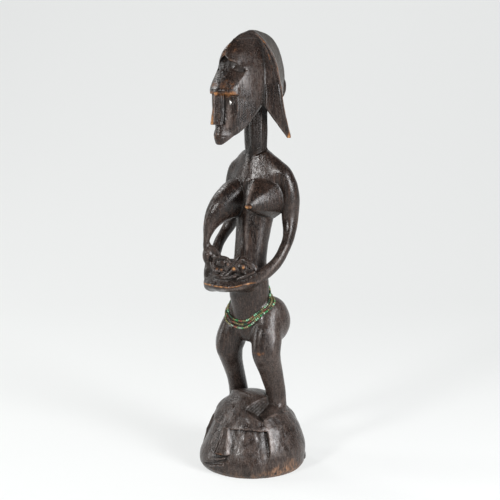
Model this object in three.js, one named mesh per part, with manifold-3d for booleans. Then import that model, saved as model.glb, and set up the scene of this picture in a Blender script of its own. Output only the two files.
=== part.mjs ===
// Standing mother-and-child figure, carved from one block of hardwood.
// Millimetres. +Z up, the figure faces -Y, its own left side is +X.
// The origin is the middle of the underside of the domed base.
import * as THREE from 'three';
import { mergeVertices } from 'three/addons/utils/BufferGeometryUtils.js';
import Module from 'manifold-3d';

const wasm = await Module();
wasm.setup();

// ---------------------------------------------------------------- sizes
const HEIGHT = 560;            // underside to crown
const BASE_H = 99;             // domed base, carved as a head
const BASE_R = 67.5;           // its largest radius
const BROW_Z = 61.5;           // brow ledge of the carved base
const FACE_TURN = 4;           // degrees, the base's face is a little off axis
const FOOT_X = 30.5, FOOT_Y = 15;
const KNEE_X = 29.5, KNEE_Y = -6, KNEE_Z = 155;
const HIP_X = 21, HIP_Y = 12.5, HIP_Z = 190;
const WAIST_Z = 212;
const CHEST_Z = 375;
const NECK_Y = 8.5, NECK_R = 14.3;
const TRAY_C = [-3, -33, 247], TRAY_A = 38, TRAY_B = 33.5;
const VISOR_Z = 485;           // underside of the brow visor
const HAIR_Z = 528;            // front edge of the coiffure
const CHIN = [0, -60, 422];
const JAW_SLOPE = 0.9;
const NOSE_Z0 = 447, NOSE_FRONT = -72, NOSE_W = 3.1;
const CHEEK_Y = -54.8, EYE_X = 13, EYE_Z = 473.5;
const EYE_W = 1.9, EYE_H = 2.7, INLAY_GAP = 0.3;
const BEAD_D = 2.8;            // waist beads
const STRANDS = 3, STRAND_PITCH = 3.3;
const BELT_Y = -8, BELT_Z = 206, BELT_TILT = 0.88;      // plane of the middle strand

// ---------------------------------------------------------------- helpers
const R2D = 180 / Math.PI, D2R = Math.PI / 180;
const clamp = (v, lo, hi) => Math.min(hi, Math.max(lo, v));
const mix = (a, b, t) => a + (b - a) * t;
const smooth = (e0, e1, x) => { const t = clamp((x - e0) / (e1 - e0), 0, 1); return t * t * (3 - 2 * t); };
const table = (rows, x, k = 1) => {                      // piecewise linear look-up
  if (x <= rows[0][0]) return rows[0][k];
  for (let i = 1; i < rows.length; i++)
    if (x <= rows[i][0]) return mix(rows[i - 1][k], rows[i][k], (x - rows[i - 1][0]) / (rows[i][0] - rows[i - 1][0]));
  return rows[rows.length - 1][k];
};

function solid(geometry) {                               // closed geometry -> manifold solid
  const g = geometry.index ? geometry.clone() : geometry.clone();
  g.deleteAttribute('normal'); g.deleteAttribute('uv');
  const m = mergeVertices(g, 1e-4);
  const pos = m.getAttribute('position').array;
  let idx = Array.from(m.index.array), vol = 0;
  const keep = [];
  for (let i = 0; i < idx.length; i += 3) {
    const [a, b, c] = [idx[i], idx[i + 1], idx[i + 2]];
    if (a === b || b === c || a === c) continue;
    keep.push(a, b, c);
    const A = [pos[3 * a], pos[3 * a + 1], pos[3 * a + 2]], B = [pos[3 * b], pos[3 * b + 1], pos[3 * b + 2]], C = [pos[3 * c], pos[3 * c + 1], pos[3 * c + 2]];
    vol += A[0] * (B[1] * C[2] - B[2] * C[1]) - A[1] * (B[0] * C[2] - B[2] * C[0]) + A[2] * (B[0] * C[1] - B[1] * C[0]);
  }
  if (vol < 0) for (let i = 0; i < keep.length; i += 3) [keep[i + 1], keep[i + 2]] = [keep[i + 2], keep[i + 1]];
  return new wasm.Manifold(new wasm.Mesh({ numProp: 3, vertProperties: new Float32Array(pos), triVerts: new Uint32Array(keep) }));
}

// Where lofts meet, the joins leave hair-thin triangles. Short edges are drawn together and
// flat triangles turned, so that every face has a real width.
const SHORT = 0.15, THIN = 0.05;
function tidy(pos, tri) {
  const P = i => new THREE.Vector3(pos[3 * i], pos[3 * i + 1], pos[3 * i + 2]);
  const normal = (a, b, c) => P(b).sub(P(a)).cross(P(c).sub(P(a)));
  let T = []; for (let i = 0; i < tri.length; i += 3) T.push([tri[i], tri[i + 1], tri[i + 2]]);
  for (let pass = 0; pass < 12; pass++) {
    const at = new Map(); T.forEach((t, i) => t.forEach(v => { if (!at.has(v)) at.set(v, new Set()); at.get(v).add(i); }));
    const around = v => { const n = new Set(); for (const i of at.get(v)) T[i].forEach(w => w !== v && n.add(w)); return n; };
    const busy = new Set(); let changed = 0;
    const collapse = (a, b) => {                         // a is drawn onto b
      const common = [...around(a)].filter(v => around(b).has(v));
      if (common.length !== 2) return false;
      for (const i of at.get(a)) {
        const t = T[i]; if (t.includes(b)) continue;
        const n0 = normal(...t), n1 = normal(...t.map(v => v === a ? b : v));
        if (n0.dot(n1) <= 0.2 * n0.length() * n1.length() && n0.length() > 0.02) return false;
        if (n1.length() < 1e-3) return false;
      }
      const touched = new Set([...at.get(a), ...at.get(b)]);
      for (const i of touched) if (busy.has(i)) return false;
      for (const i of at.get(a)) T[i] = T[i].includes(b) ? null : T[i].map(v => v === a ? b : v);
      touched.forEach(i => busy.add(i)); for (const v of around0) for (const i of at.get(v) || []) busy.add(i);
      return true;
    };
    let around0 = new Set();
    for (let i = 0; i < T.length; i++) {
      if (!T[i] || busy.has(i)) continue;
      const t = T[i], L = [0, 1, 2].map(k => P(t[k]).distanceTo(P(t[(k + 1) % 3]))), long = L.indexOf(Math.max(...L)), short = L.indexOf(Math.min(...L));
      const height = normal(...t).length() / L[long];
      if (L[short] < SHORT || (height < THIN && L[short] < 0.8)) {
        const a = t[short], b = t[(short + 1) % 3];
        around0 = new Set([...around(a), ...around(b)]);
        if (collapse(a, b) || collapse(b, a)) { changed++; continue; }
      }
      if (height < THIN) {                               // turn the long edge
        const a = t[long], b = t[(long + 1) % 3], c = t[(long + 2) % 3];
        const j = [...at.get(a)].find(q => q !== i && T[q] && T[q].includes(b));
        if (j === undefined || busy.has(j)) continue;
        const d = T[j].find(v => v !== a && v !== b);
        if (around(c).has(d)) continue;
        const h = Math.min(normal(a, d, c).length(), normal(d, b, c).length());
        if (h < 0.02) continue;
        T[i] = [a, d, c]; T[j] = [d, b, c]; busy.add(i); busy.add(j);
        for (const v of [a, b, c, d]) for (const q of at.get(v)) busy.add(q);
        changed++;
      }
    }
    T = T.filter(t => t);
    if (!changed) break;
  }
  return T.flat();
}

function toGeometry(man) {
  const m = man.getMesh(), g = new THREE.BufferGeometry(), pos = new Float32Array(m.vertProperties);
  const full = new THREE.BufferGeometry();
  full.setAttribute('position', new THREE.BufferAttribute(pos, 3));
  full.setIndex(tidy(pos, Array.from(m.triVerts)));
  const loose = full.toNonIndexed(), merged = mergeVertices(loose, 1e-5);
  g.setAttribute('position', merged.getAttribute('position'));
  g.setIndex(merged.index);
  g.computeVertexNormals();
  return g;
}

// A drum whose rows are carried to sections: f(t, angle) gives a rim point, mid(t) its middle.
function drum(segs, rows, f, mid) {
  const g = new THREE.CylinderGeometry(1, 1, 1, segs, rows);
  const p = g.getAttribute('position');
  for (let i = 0; i < p.count; i++) {
    const t = clamp(p.getY(i) + 0.5, 0, 1), r = Math.hypot(p.getX(i), p.getZ(i));
    const v = r < 1e-6 ? mid(t) : f(t, Math.round(Math.atan2(p.getX(i), p.getZ(i)) / (2 * Math.PI) * segs) / segs * 2 * Math.PI);
    p.setXYZ(i, v[0], v[1], v[2]);
  }
  return solid(g);
}

const power = (v, n) => Math.sign(v) * Math.pow(Math.abs(v), 2 / n);

// Limb: stations [x, y, z, halfSide, halfOther], sections square to the path.
function limb(stations, { segs = 14, rows = 12, side = [1, 0, 0], n = 2, spin = 0 } = {}) {
  const path = new THREE.CatmullRomCurve3(stations.map(s => new THREE.Vector3(s[0], s[1], s[2])), false, 'centripetal');
  const size = new THREE.CatmullRomCurve3(stations.map(s => new THREE.Vector3(s[3], s[4], 0)), false, 'catmullrom', 0.5);
  const S = new THREE.Vector3(...side);
  const frame = t => {
    const o = path.getPoint(t), T = path.getTangent(t);
    const u = S.clone().sub(T.clone().multiplyScalar(S.dot(T))).normalize(), v = T.clone().cross(u);
    return { o, u, v };
  };
  return drum(segs, rows, (t, a) => {
    const { o, u, v } = frame(t), s = size.getPoint(t);
    const x = power(Math.cos(a + spin), n) * Math.max(s.x, 0.4), y = power(Math.sin(a + spin), n) * Math.max(s.y, 0.4);
    return [o.x + u.x * x + v.x * y, o.y + u.y * x + v.y * y, o.z + u.z * x + v.z * y];
  }, t => { const { o } = frame(t); return [o.x, o.y, o.z]; });
}

// Column of level sections: rows [z, middleY, halfX, halfY]
function column(rows, { segs = 24, n = 2.2 } = {}) {
  const last = rows.length - 1;
  return drum(segs, last, (t, a) => {
    const r = rows[Math.round(t * last)];
    return [power(Math.sin(a), n) * r[2], r[1] - power(Math.cos(a), n) * r[3], r[0]];
  }, t => { const r = rows[Math.round(t * last)]; return [0, r[1], r[0]]; });
}

const ball = (c, r, segs = 16, rows = 10) => solid(new THREE.SphereGeometry(1, segs, rows).scale(r[0], r[1], r[2]).translate(c[0], c[1], c[2]));
const mirrored = f => [f(1), f(-1)];

// side-profile prism: outline points [y, z] pushed through in X
function prism(outline, halfX) {
  const sh = new THREE.Shape(outline.map(([y, z]) => new THREE.Vector2(y, z)));
  const g = new THREE.ExtrudeGeometry(sh, { depth: 2 * halfX, bevelEnabled: false });
  const p = g.getAttribute('position');
  for (let i = 0; i < p.count; i++) p.setXYZ(i, p.getZ(i) - halfX, p.getX(i), p.getY(i));
  return solid(g);
}

// ---------------------------------------------------------------- domed base, carved as a second head
const DOME = [[0, 63.5], [6, 66.6], [16, BASE_R], [28, 66.4], [42, 62.6], [54, 57.6], [61, 54.4], [62, 54], [66, 51.4], [71, 48], [76, 44.4], [82, 38.8], [88, 32], [94, 22.5], [BASE_H - 1.2, 10], [BASE_H, 3]];
function domeRadius(deg, z) {                            // deg: 0 in front, + toward the figure's left
  const side = Math.abs(deg - FACE_TURN);
  let r = table(DOME, z);
  if (z < BROW_Z + 0.2 && z > 12)                        // face cut back under the brow
    r -= 6.2 * smooth(12, 56, z) * (1 - smooth(55, 60, side));
  if (side > 60 && side < 126 && z < 71.5) r += 1.6 * smooth(4, 20, z);                      // lappets
  if (side > 24 && side < 126) {                         // hollows above brow ends and lappets
    const lower = mix(83, 66, clamp((side - 24) / 38, 0, 1)), ends = smooth(22, 36, side) * (1 - smooth(108, 126, side));
    r -= 4.4 * smooth(lower, lower + 5, z) * (1 - smooth(90, 97, z)) * ends;
  }
  return r;
}
const domeDrum = drum(48, DOME.length - 1, (t, a) => {
  const z = DOME[Math.round(t * (DOME.length - 1))][0], deg = a * R2D > 180 ? a * R2D - 360 : a * R2D;
  const r = domeRadius(deg, z);
  return [Math.sin(a) * r, -Math.cos(a) * r, z];
}, t => [0, 0, DOME[Math.round(t * (DOME.length - 1))][0]]);
const turned = (man, deg) => man.rotate([0, 0, deg]);
const baseNose = (() => {                                // three-sided wedge, sharp above and broad below
  const g = new THREE.CylinderGeometry(1, 1, 1, 4).rotateY(Math.PI / 4);
  const p = g.getAttribute('position');
  for (let i = 0; i < p.count; i++) {
    const low = p.getY(i) < 0, front = p.getZ(i) > 0, x = p.getX(i), mid = Math.abs(x) < 0.1 && Math.abs(p.getZ(i)) < 0.1;
    const z = low ? 28.5 : 62;
    p.setXYZ(i, mid ? 0 : Math.sign(x) * (low ? (front ? 8.4 : 11.5) : (front ? 1.4 : 2.6)), mid ? -50 : (front ? (low ? -67.6 : -56.6) : -44), z);
  }
  return turned(solid(g), FACE_TURN + 1.5);
})();
const baseLips = [12.4, 17.2].map((z, i) => turned(limb([[-14, -61.6, z, 1.6, 1.7], [-6, -65.9, z, 2.6, 2.1], [6, -65.9, z, 2.6, 2.1], [14, -61.6, z, 1.6, 1.7]], { segs: 6, rows: 5, side: [0, 1, 0] }), FACE_TURN));
const crownRidge = limb([[-26, 6, 87, 9, 7], [-10, -8, 94, 10, 8], [10, -8, 94, 10, 8], [26, 6, 87, 9, 7]], { segs: 8, rows: 6, side: [0, 1, 0] });
const lappetTips = mirrored(k => limb([[k * 44, 38, 34, 3, 3], [k * 51, 44, 20, 5, 5], [k * 53.5, 46.5, 6, 4, 4]], { segs: 6, rows: 3 }));
const base = [domeDrum, baseNose, ...baseLips, crownRidge, ...lappetTips];

// ---------------------------------------------------------------- legs and hips
const legs = mirrored(k => limb([
  [k * FOOT_X, FOOT_Y, 70, 12.5, 13], [k * FOOT_X, FOOT_Y, 86, 11.4, 12.2], [k * 30.3, 11, 108, 12, 13],
  [k * 30, 2, 134, 14.6, 16.2], [k * KNEE_X, KNEE_Y, KNEE_Z, 15.6, 19.2], [k * 27, -2, 173, 17, 21], [k * 22, 3, 194, 15, 19],
], { segs: 14, rows: 9 }));
const hips = mirrored(k => ball([k * HIP_X, HIP_Y, HIP_Z], [21, 26, 29], 14, 9));
const belly = ball([0, -8, 180], [17, 15, 17], 14, 8);

// ---------------------------------------------------------------- torso and neck
const torso = column([
  [184, 2, 24, 19], [200, 0, 24.5, 22], [WAIST_Z, -2.5, 24.5, 21.5], [232, -4.6, 27, 23], [252, -4.5, 25, 21], [270, -3, 22.2, 18.2],
  [300, 1.5, 22.6, 18.6], [325, 6.5, 25, 20], [348, 10.5, 33, 20.5], [365, 12.5, 41, 21], [372, 12.6, 43, 21], [CHEST_Z, 11.2, 44, 23.8], [388, 13, 43, 21],
  [400, 12.5, 35, 17], [408, 10.5, 22, 15], [416, 9.2, 14.6, 14], [450, NECK_Y, NECK_R, NECK_R], [482, NECK_Y, NECK_R, NECK_R],
], { segs: 20, n: 2.15 });

// ---------------------------------------------------------------- arms, running into the hands that form the tray
const arms = mirrored(k => limb([
  [k * 22, 13, 394, 11, 12], [k * 38, 16, 386, 10.5, 12], [k * 46.5, 19.5, 366, 9.5, 12], [k * 45, 22, 343, 9.5, 11.5],
  [k * 45.5, 20.5, 326, 8.6, 10.5], [k * 49, 14.5, 310, 6.2, 8], [k * 51, -1, 290, 5.6, 7], [k * 47, -15, 275, 5.6, 7],
  [k * 38, -28, 263, 6.5, 8], [k * 26, -40, 256, 6, 8],
], { segs: 10, rows: 14, side: [1, 0, 0] }));

// ---------------------------------------------------------------- breasts
const rightBreast = limb([
  [-20, 4, 352, 21, 25], [-22, -10, 350, 20, 24], [-26, -24, 344, 17.5, 19.5], [-30, -36, 333, 12.5, 15.5],
  [-32.5, -44, 317, 7.5, 9.5], [-33, -48.5, 304, 4.4, 5], [-33, -50.5, 294, 3.2, 3.4],
], { segs: 14, rows: 10 });
const leftBreast = limb([
  [23, 6, 354, 19, 24], [25, -6, 353, 18.5, 22], [26, -20, 350, 13.5, 15], [26.3, -31, 347.5, 7, 7.5], [26.4, -38, 346.2, 2.2, 2.2],
], { segs: 14, rows: 6 });
// ---------------------------------------------------------------- tray
const TRAY = [[-16, 0], [-15.4, 15], [-11, 27], [-5, 34.5], [0, 37.6], [2.2, 38], [2.4, 36], [0.2, 32], [-1.2, 16], [-1.5, 0]];   // [drop, radius]
const trayLift = (x, y) => 15 * smooth(8, 36, -x) + 9 * smooth(14, 38, x) * smooth(-62, -30, y);
const tray = (() => {
  const last = TRAY.length - 1;
  const g = new THREE.LatheGeometry(TRAY.map(([h, r]) => new THREE.Vector2(r, h)), 28);
  const p = g.getAttribute('position');
  for (let i = 0; i < p.count; i++) {
    const x = p.getX(i) * TRAY_A / 38 + TRAY_C[0], y = p.getZ(i) * TRAY_B / 38 + TRAY_C[1];
    p.setXYZ(i, x, y, TRAY_C[2] + p.getY(i) + trayLift(x, y));
  }
  return solid(g);
})();
const lap = limb([[0, -10, 236, 24, 15], [0, -28, 240, 24, 10], [0, -44, 244, 17, 6]], { segs: 14, rows: 6 });   // tray root on the belly

// ---------------------------------------------------------------- child lying on the tray
const child = [
  ball([-30.5, -43, 276], [9.8, 10.2, 11], 10, 7),
  limb([[-34, -46, 283, 5, 5], [-34, -46.5, 289, 5.2, 5.2], [-33.4, -48, 295, 3.6, 3.6]], { segs: 8, rows: 3 }),
  limb([[-26, -42, 266, 8, 7], [-14, -42, 262, 10, 8], [0, -40, 261, 10.5, 8.5], [12, -38, 262, 8.5, 8]], { segs: 10, rows: 6, side: [0, 1, 0] }),
  limb([[-22, -50, 267, 3.6, 3.6], [-14, -54, 262, 3.6, 3.4], [-6, -52, 264, 3.8, 3.6], [-2, -46, 270, 3.4, 3.2], [-6, -38, 273, 3, 3]], { segs: 8, rows: 8, side: [0, 1, 0] }),
  limb([[3, -28, 274, 4, 4], [-1, -38, 271, 4.6, 4.4], [-4, -47, 262, 3.8, 3.8]], { segs: 8, rows: 5 }),
  limb([[4, -36, 264, 5, 5], [9, -44, 268, 4.4, 4.4], [12, -52, 260, 3.6, 3.6]], { segs: 8, rows: 5 }),
  limb([[14, -32, 264, 5, 5], [20, -38, 268, 4.6, 4.4], [26, -42, 261, 3.8, 3.8]], { segs: 8, rows: 5 }),
  limb([[14, -28, 262, 6, 6], [24, -28, 264, 5, 5], [31, -30, 262, 3.6, 3.6]], { segs: 8, rows: 5, side: [0, 1, 0] }),
];

// ---------------------------------------------------------------- head: level sections of the helmet-like mask
// each row: z, then half-outline points from the front midline round to the back midline
const HEAD = [
  [421, [0, -64], [5, -62], [8, -58], [13, -50], [20, -36], [24, -15], [18, 12], [0, 24]],
  [431, [0, -68], [5.5, -65.5], [8, -60], [13, -52], [21, -40], [27, -16], [20, 14], [0, 28]],
  [438, [0, -68.5], [5.5, -66], [8, -59], [13, -52.5], [21, -42], [28, -16], [22, 16], [0, 30]],
  [441, [0, -65.5], [5, -63], [7, -57], [13, -52.5], [21, -43], [28.5, -16], [22, 16], [0, 30]],
  [449, [0, -64], [5, -61.5], [7, -56.5], [15, -52.5], [21.2, -45], [29, -15], [24, 20], [0, 36]],
  [463, [0, -60], [6, -57.5], [13, -54.3], [19.6, -50.4], [21.6, -45.5], [30, -13], [27, 18], [0, 48]],
  [VISOR_Z - 0.6, [0, -60], [6, -58], [13, -55.3], [20, -51.4], [22, -46], [31, -12], [27, 20], [0, 62]],
  [VISOR_Z + 0.6, [0, -66.8], [9, -64.6], [16.5, -59], [21.2, -52.4], [22.6, -46], [31, -12], [27, 20], [0, 62.5]],
  [490, [0, -67.4], [9, -65], [16.5, -59.2], [21.3, -52.4], [22.6, -46], [31, -12], [27, 20], [0, 63.5]],
  [500, [0, -62], [9, -59.2], [16, -53.6], [20.7, -47], [22.4, -41], [30.4, -11], [26, 20], [0, 64.5]],
  [514, [0, -56], [8.5, -53.2], [15.6, -48], [20, -41.6], [22, -35], [29, -9], [24.6, 20], [0, 62.5]],
  [HAIR_Z - 1, [0, -50.5], [7, -48.4], [13, -44], [17.6, -37.4], [20, -31], [26, -7], [22, 20], [0, 58]],
  [HAIR_Z + 0.6, [0, -55], [6.5, -50.6], [12.6, -45], [17.4, -38], [20, -31], [26, -7], [22, 20], [0, 57.6]],
  [540, [0, -42.6], [4.6, -38.6], [9, -33], [13, -26.6], [15.8, -20], [19.6, -3], [17, 18], [0, 50]],
  [552, [0, -22.4], [3.2, -19], [6, -14.6], [8, -10], [9.6, -6], [10.8, 2], [9.6, 14], [0, 38]],
  [558, [0, -8], [1.8, -6.4], [3.2, -4.4], [4.4, -2], [5, 0], [5.6, 4], [5, 12], [0, 27]],
  [HEIGHT, [0, -2], [0.7, -1.2], [1.2, 0], [1.6, 1.4], [1.8, 2.6], [2, 5], [1.8, 9], [0, 14]],
];
const headCore = (() => {
  const last = HEAD.length - 1, half = HEAD[0].length - 2, segs = 2 * half;
  return drum(segs, last, (t, a) => {
    const row = HEAD[Math.round(t * last)], i = Math.round(a / (2 * Math.PI) * segs + segs) % segs;
    const j = i <= half ? i : segs - i, k = i <= half ? 1 : -1;
    const [x, y] = row[1 + j];
    const slant = Math.abs(row[0] - HAIR_Z) < 2 ? 12 * smooth(0, 22, x) : 0;
    return [k * x, y, row[0] - slant];
  }, t => { const row = HEAD[Math.round(t * last)]; return [0, (row[1][1] + row[row.length - 1][1]) / 2, row[0]]; });
})();
const underJaw = prism([[-110, CHIN[2] - 0.9 * 50], [CHIN[1], CHIN[2]], [-10, CHIN[2] + JAW_SLOPE * (-10 - CHIN[1])], [4, 473], [34, 470], [56, 471], [64, 476], [100, 480], [100, 380], [-110, 340]], 60);
const nose = (() => {                                    // thin slab, sharp above and broad below
  const g = new THREE.BoxGeometry(2, 1, 1);
  const p = g.getAttribute('position');
  for (let i = 0; i < p.count; i++) {
    const low = p.getZ(i) < 0, front = p.getY(i) < 0;
    const w = front ? (low ? NOSE_W : 0.7) : (low ? 4.8 : 4);
    p.setXYZ(i, Math.sign(p.getX(i)) * w, front ? (low ? NOSE_FRONT : NOSE_FRONT + 3) : -48, low ? NOSE_Z0 : VISOR_Z + 1);
  }
  return solid(g);
})();
const crestKnob = limb([[0, 52, 493, 5, 8], [0, 61, 486, 5, 8], [0, 60, 476, 4, 7]], { segs: 10, rows: 4 });
const lappets = mirrored(k => limb([
  [k * 7, 6, 553, 3, 5], [k * 15, 4, 540, 4.5, 9.5], [k * 22.5, 3.5, 522, 5, 13], [k * 27.5, 3.8, 504, 5, 15.4], [k * 29.5, 4, 486, 4.6, 15.6],
  [k * 30.2, 8, 465, 4.2, 16.6], [k * 31, 19.5, 447, 3.4, 11.5], [k * 32, 32.5, 428, 2.2, 4],
], { segs: 8, rows: 10, side: [1, 0, 0], n: 2.6 }));

// rhombic metal inlays and their sockets in the flat cheeks
const rhombus = (x, y, z, w, h, d) => {
  const g = new THREE.CylinderGeometry(1, 1, 1, 4);
  return g.scale(w, d, h).translate(x, y, z);
};
const sockets = mirrored(k => solid(rhombus(k * EYE_X, CHEEK_Y - 3.2, EYE_Z, EYE_W + INLAY_GAP + 0.1, EYE_H + INLAY_GAP + 0.15, 8.2)));

// ---------------------------------------------------------------- one carving
const union = parts => parts.reduce((a, b) => a.add(b));
const head = union([headCore.subtract(underJaw), nose, crestKnob, ...lappets]).subtract(union(sockets));
const carving = union([...base, ...legs, ...hips, belly, torso, ...arms, rightBreast, leftBreast, tray, lap, ...child, head]);

// ---------------------------------------------------------------- waist beads: taut closed loops round the waist
const carvingGeometry = toGeometry(carving);
const probe = new THREE.Mesh(carvingGeometry, new THREE.MeshStandardMaterial());
const BELT_MID = new THREE.Vector3(0, 1, BELT_Z + BELT_TILT * (1 - BELT_Y));
const beltU = new THREE.Vector3(1, 0, 0), beltV = new THREE.Vector3(0, 1, BELT_TILT).normalize(), beltN = beltU.clone().cross(beltV);
function strand(i) {
  const mid = BELT_MID.clone().addScaledVector(beltN, ((STRANDS - 1) / 2 - i) * STRAND_PITCH), pts = [];
  const caster = new THREE.Raycaster();
  for (let j = 0; j < 72; j++) {                         // where the body meets the strand's plane
    const a = j / 72 * 2 * Math.PI, d = beltU.clone().multiplyScalar(Math.cos(a)).addScaledVector(beltV, Math.sin(a));
    let reach = 0;
    for (const off of [-BEAD_D / 2, 0, BEAD_D / 2]) {
      caster.set(mid.clone().addScaledVector(d, 90).addScaledVector(beltN, off), d.clone().negate());
      const hit = caster.intersectObject(probe)[0];
      if (hit) reach = Math.max(reach, 90 - hit.distance);
    }
    pts.push([Math.cos(a) * reach, Math.sin(a) * reach]);
  }
  const cross = (o, a, b) => (a[0] - o[0]) * (b[1] - o[1]) - (a[1] - o[1]) * (b[0] - o[0]);
  pts.sort((a, b) => a[0] - b[0] || a[1] - b[1]);
  const half = list => { const h = []; for (const q of list) { while (h.length > 1 && cross(h[h.length - 2], h[h.length - 1], q) <= 0) h.pop(); h.push(q); } h.pop(); return h; };
  const hull = [...half(pts), ...half([...pts].reverse())];
  const wall = a => {                                    // distance from the middle to the taut outline
    const d = [Math.cos(a), Math.sin(a)]; let best = 0;
    hull.forEach((p, q) => {
      const r = hull[(q + 1) % hull.length], ex = r[0] - p[0], ey = r[1] - p[1], den = d[0] * ey - d[1] * ex;
      if (Math.abs(den) < 1e-9) return;
      const t = (p[0] * ey - p[1] * ex) / den, w = (p[0] * d[1] - p[1] * d[0]) / den;
      if (t > 0 && w >= -1e-6 && w <= 1 + 1e-6) best = Math.max(best, t);
    });
    return best;
  };
  const clear = BEAD_D / 2 + 0.45, g = new THREE.TorusGeometry(10, BEAD_D / 2, 5, 36), p = g.getAttribute('position');
  for (let q = 0; q < p.count; q++) {
    const a = Math.round(Math.atan2(p.getY(q), p.getX(q)) / (2 * Math.PI) * 36) / 36 * 2 * Math.PI;
    const r = wall(a) + clear + Math.hypot(p.getX(q), p.getY(q)) - 10;
    const v = mid.clone().addScaledVector(beltU, Math.cos(a) * r).addScaledVector(beltV, Math.sin(a) * r).addScaledVector(beltN, p.getZ(q));
    p.setXYZ(q, v.x, v.y, v.z);
  }
  return solid(g);
}

// ---------------------------------------------------------------- scene graph
const group = new THREE.Group();
const add = (name, geometry, color, roughness, metalness) => {
  const m = new THREE.Mesh(geometry, new THREE.MeshStandardMaterial({ color, roughness, metalness }));
  m.name = name; group.add(m); return m;
};
add('figure', carvingGeometry, 0x2b211c, 0.42, 0);
['bead_strand_upper', 'bead_strand_middle', 'bead_strand_lower'].forEach((name, i) => add(name, toGeometry(strand(i)), [0x4f9a6b, 0x6f6f4a, 0x3f8a5c][i], 0.3, 0));
[['eye_inlay_left', 1], ['eye_inlay_right', -1]].forEach(([name, k]) => add(name, toGeometry(solid(rhombus(k * EYE_X, CHEEK_Y - 0.25, EYE_Z, EYE_W, EYE_H, 1.7))), 0xc9cbc8, 0.35, 1));
export default group;
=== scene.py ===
# Standing mother-and-child figure, carved from one block of dark hardwood, with waist beads and metal eye inlays.
# The carving is modelled as a distance field in millimetres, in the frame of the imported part: +Z up, the figure faces -Y,
# its own left side is +X. The field is meshed, thinned and painted with procedural materials.
import math, time
import numpy as np
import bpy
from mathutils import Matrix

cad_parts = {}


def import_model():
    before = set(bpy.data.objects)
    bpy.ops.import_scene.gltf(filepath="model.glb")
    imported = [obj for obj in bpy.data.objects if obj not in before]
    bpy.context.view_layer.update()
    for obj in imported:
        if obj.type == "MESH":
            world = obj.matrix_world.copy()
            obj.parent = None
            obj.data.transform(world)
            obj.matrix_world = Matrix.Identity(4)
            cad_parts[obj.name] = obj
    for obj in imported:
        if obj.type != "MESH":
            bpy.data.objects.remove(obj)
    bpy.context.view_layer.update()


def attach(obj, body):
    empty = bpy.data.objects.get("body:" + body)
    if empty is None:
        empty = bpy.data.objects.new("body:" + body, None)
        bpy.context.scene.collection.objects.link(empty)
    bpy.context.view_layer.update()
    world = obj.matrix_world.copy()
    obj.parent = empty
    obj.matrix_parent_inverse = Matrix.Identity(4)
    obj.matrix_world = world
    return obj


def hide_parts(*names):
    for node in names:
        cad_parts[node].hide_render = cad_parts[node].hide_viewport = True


GRID = 0.75                     # field spacing, mm

F4 = np.float32
D2R = math.pi / 180

# ------------------------------------------------------------------ field tools
def sstep(a, b, x):
    t = np.clip((x - a) / (b - a), 0, 1)
    return t * t * (3 - 2 * t)

def smin(a, b, k):
    if k <= 0:
        return np.minimum(a, b)
    h = np.maximum(k - np.abs(a - b), 0)
    return np.minimum(a, b) - h * h * F4(0.25 / k)

def smax(a, b, k):
    return -smin(-a, -b, k)

class Field:
    def __init__(s, lo, hi, h):
        s.lo = np.array(lo, float); s.h = h
        s.n = np.ceil((np.array(hi) - s.lo) / h).astype(int) + 1
        s.D = np.full(s.n, 40.0, F4)
    def window(s, lo, hi):
        i0 = np.clip(np.floor((np.array(lo) - s.lo) / s.h).astype(int), 0, s.n)
        i1 = np.clip(np.ceil((np.array(hi) - s.lo) / s.h).astype(int) + 1, 0, s.n)
        sl = tuple(slice(a, b) for a, b in zip(i0, i1))
        ax = [(s.lo[k] + np.arange(i0[k], i1[k]) * s.h).astype(F4) for k in range(3)]
        return sl, ax[0][:, None, None], ax[1][None, :, None], ax[2][None, None, :]
    def add(s, fn, lo, hi, k=0.0):
        sl, x, y, z = s.window(lo, hi)
        v = fn(x, y, z).astype(F4)
        s.D[sl] = smin(s.D[sl], v, k)
    def cut(s, fn, lo, hi, k=0.0):
        sl, x, y, z = s.window(lo, hi)
        v = fn(x, y, z).astype(F4)
        s.D[sl] = smax(s.D[sl], -v, k)
    def shift(s, fn, lo, hi):            # adds to the distance: + cuts in, - raises
        sl, x, y, z = s.window(lo, hi)
        s.D[sl] += fn(x, y, z).astype(F4)

def box_of(pts, m):
    p = np.array(pts); return p.min(0) - m, p.max(0) + m

def catmull(P, N, closed=False):
    P = np.asarray(P, float); n = len(P); out = []
    if closed:
        for i in range(n):
            p0, p1, p2, p3 = P[i - 1], P[i], P[(i + 1) % n], P[(i + 2) % n]
            for t in np.arange(N) / N:
                out.append(0.5 * (2 * p1 + (p2 - p0) * t + (2 * p0 - 5 * p1 + 4 * p2 - p3) * t * t + (3 * p1 - p0 - 3 * p2 + p3) * t ** 3))
        return np.array(out)
    for i in range(n - 1):
        p1, p2 = P[i], P[i + 1]
        p0 = P[i - 1] if i > 0 else 2 * p1 - p2
        p3 = P[i + 2] if i + 2 < n else 2 * p2 - p1
        for t in np.arange(N) / N:
            out.append(0.5 * (2 * p1 + (p2 - p0) * t + (2 * p0 - 5 * p1 + 4 * p2 - p3) * t * t + (3 * p1 - p0 - 3 * p2 + p3) * t ** 3))
    out.append(P[-1]); return np.array(out)

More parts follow.
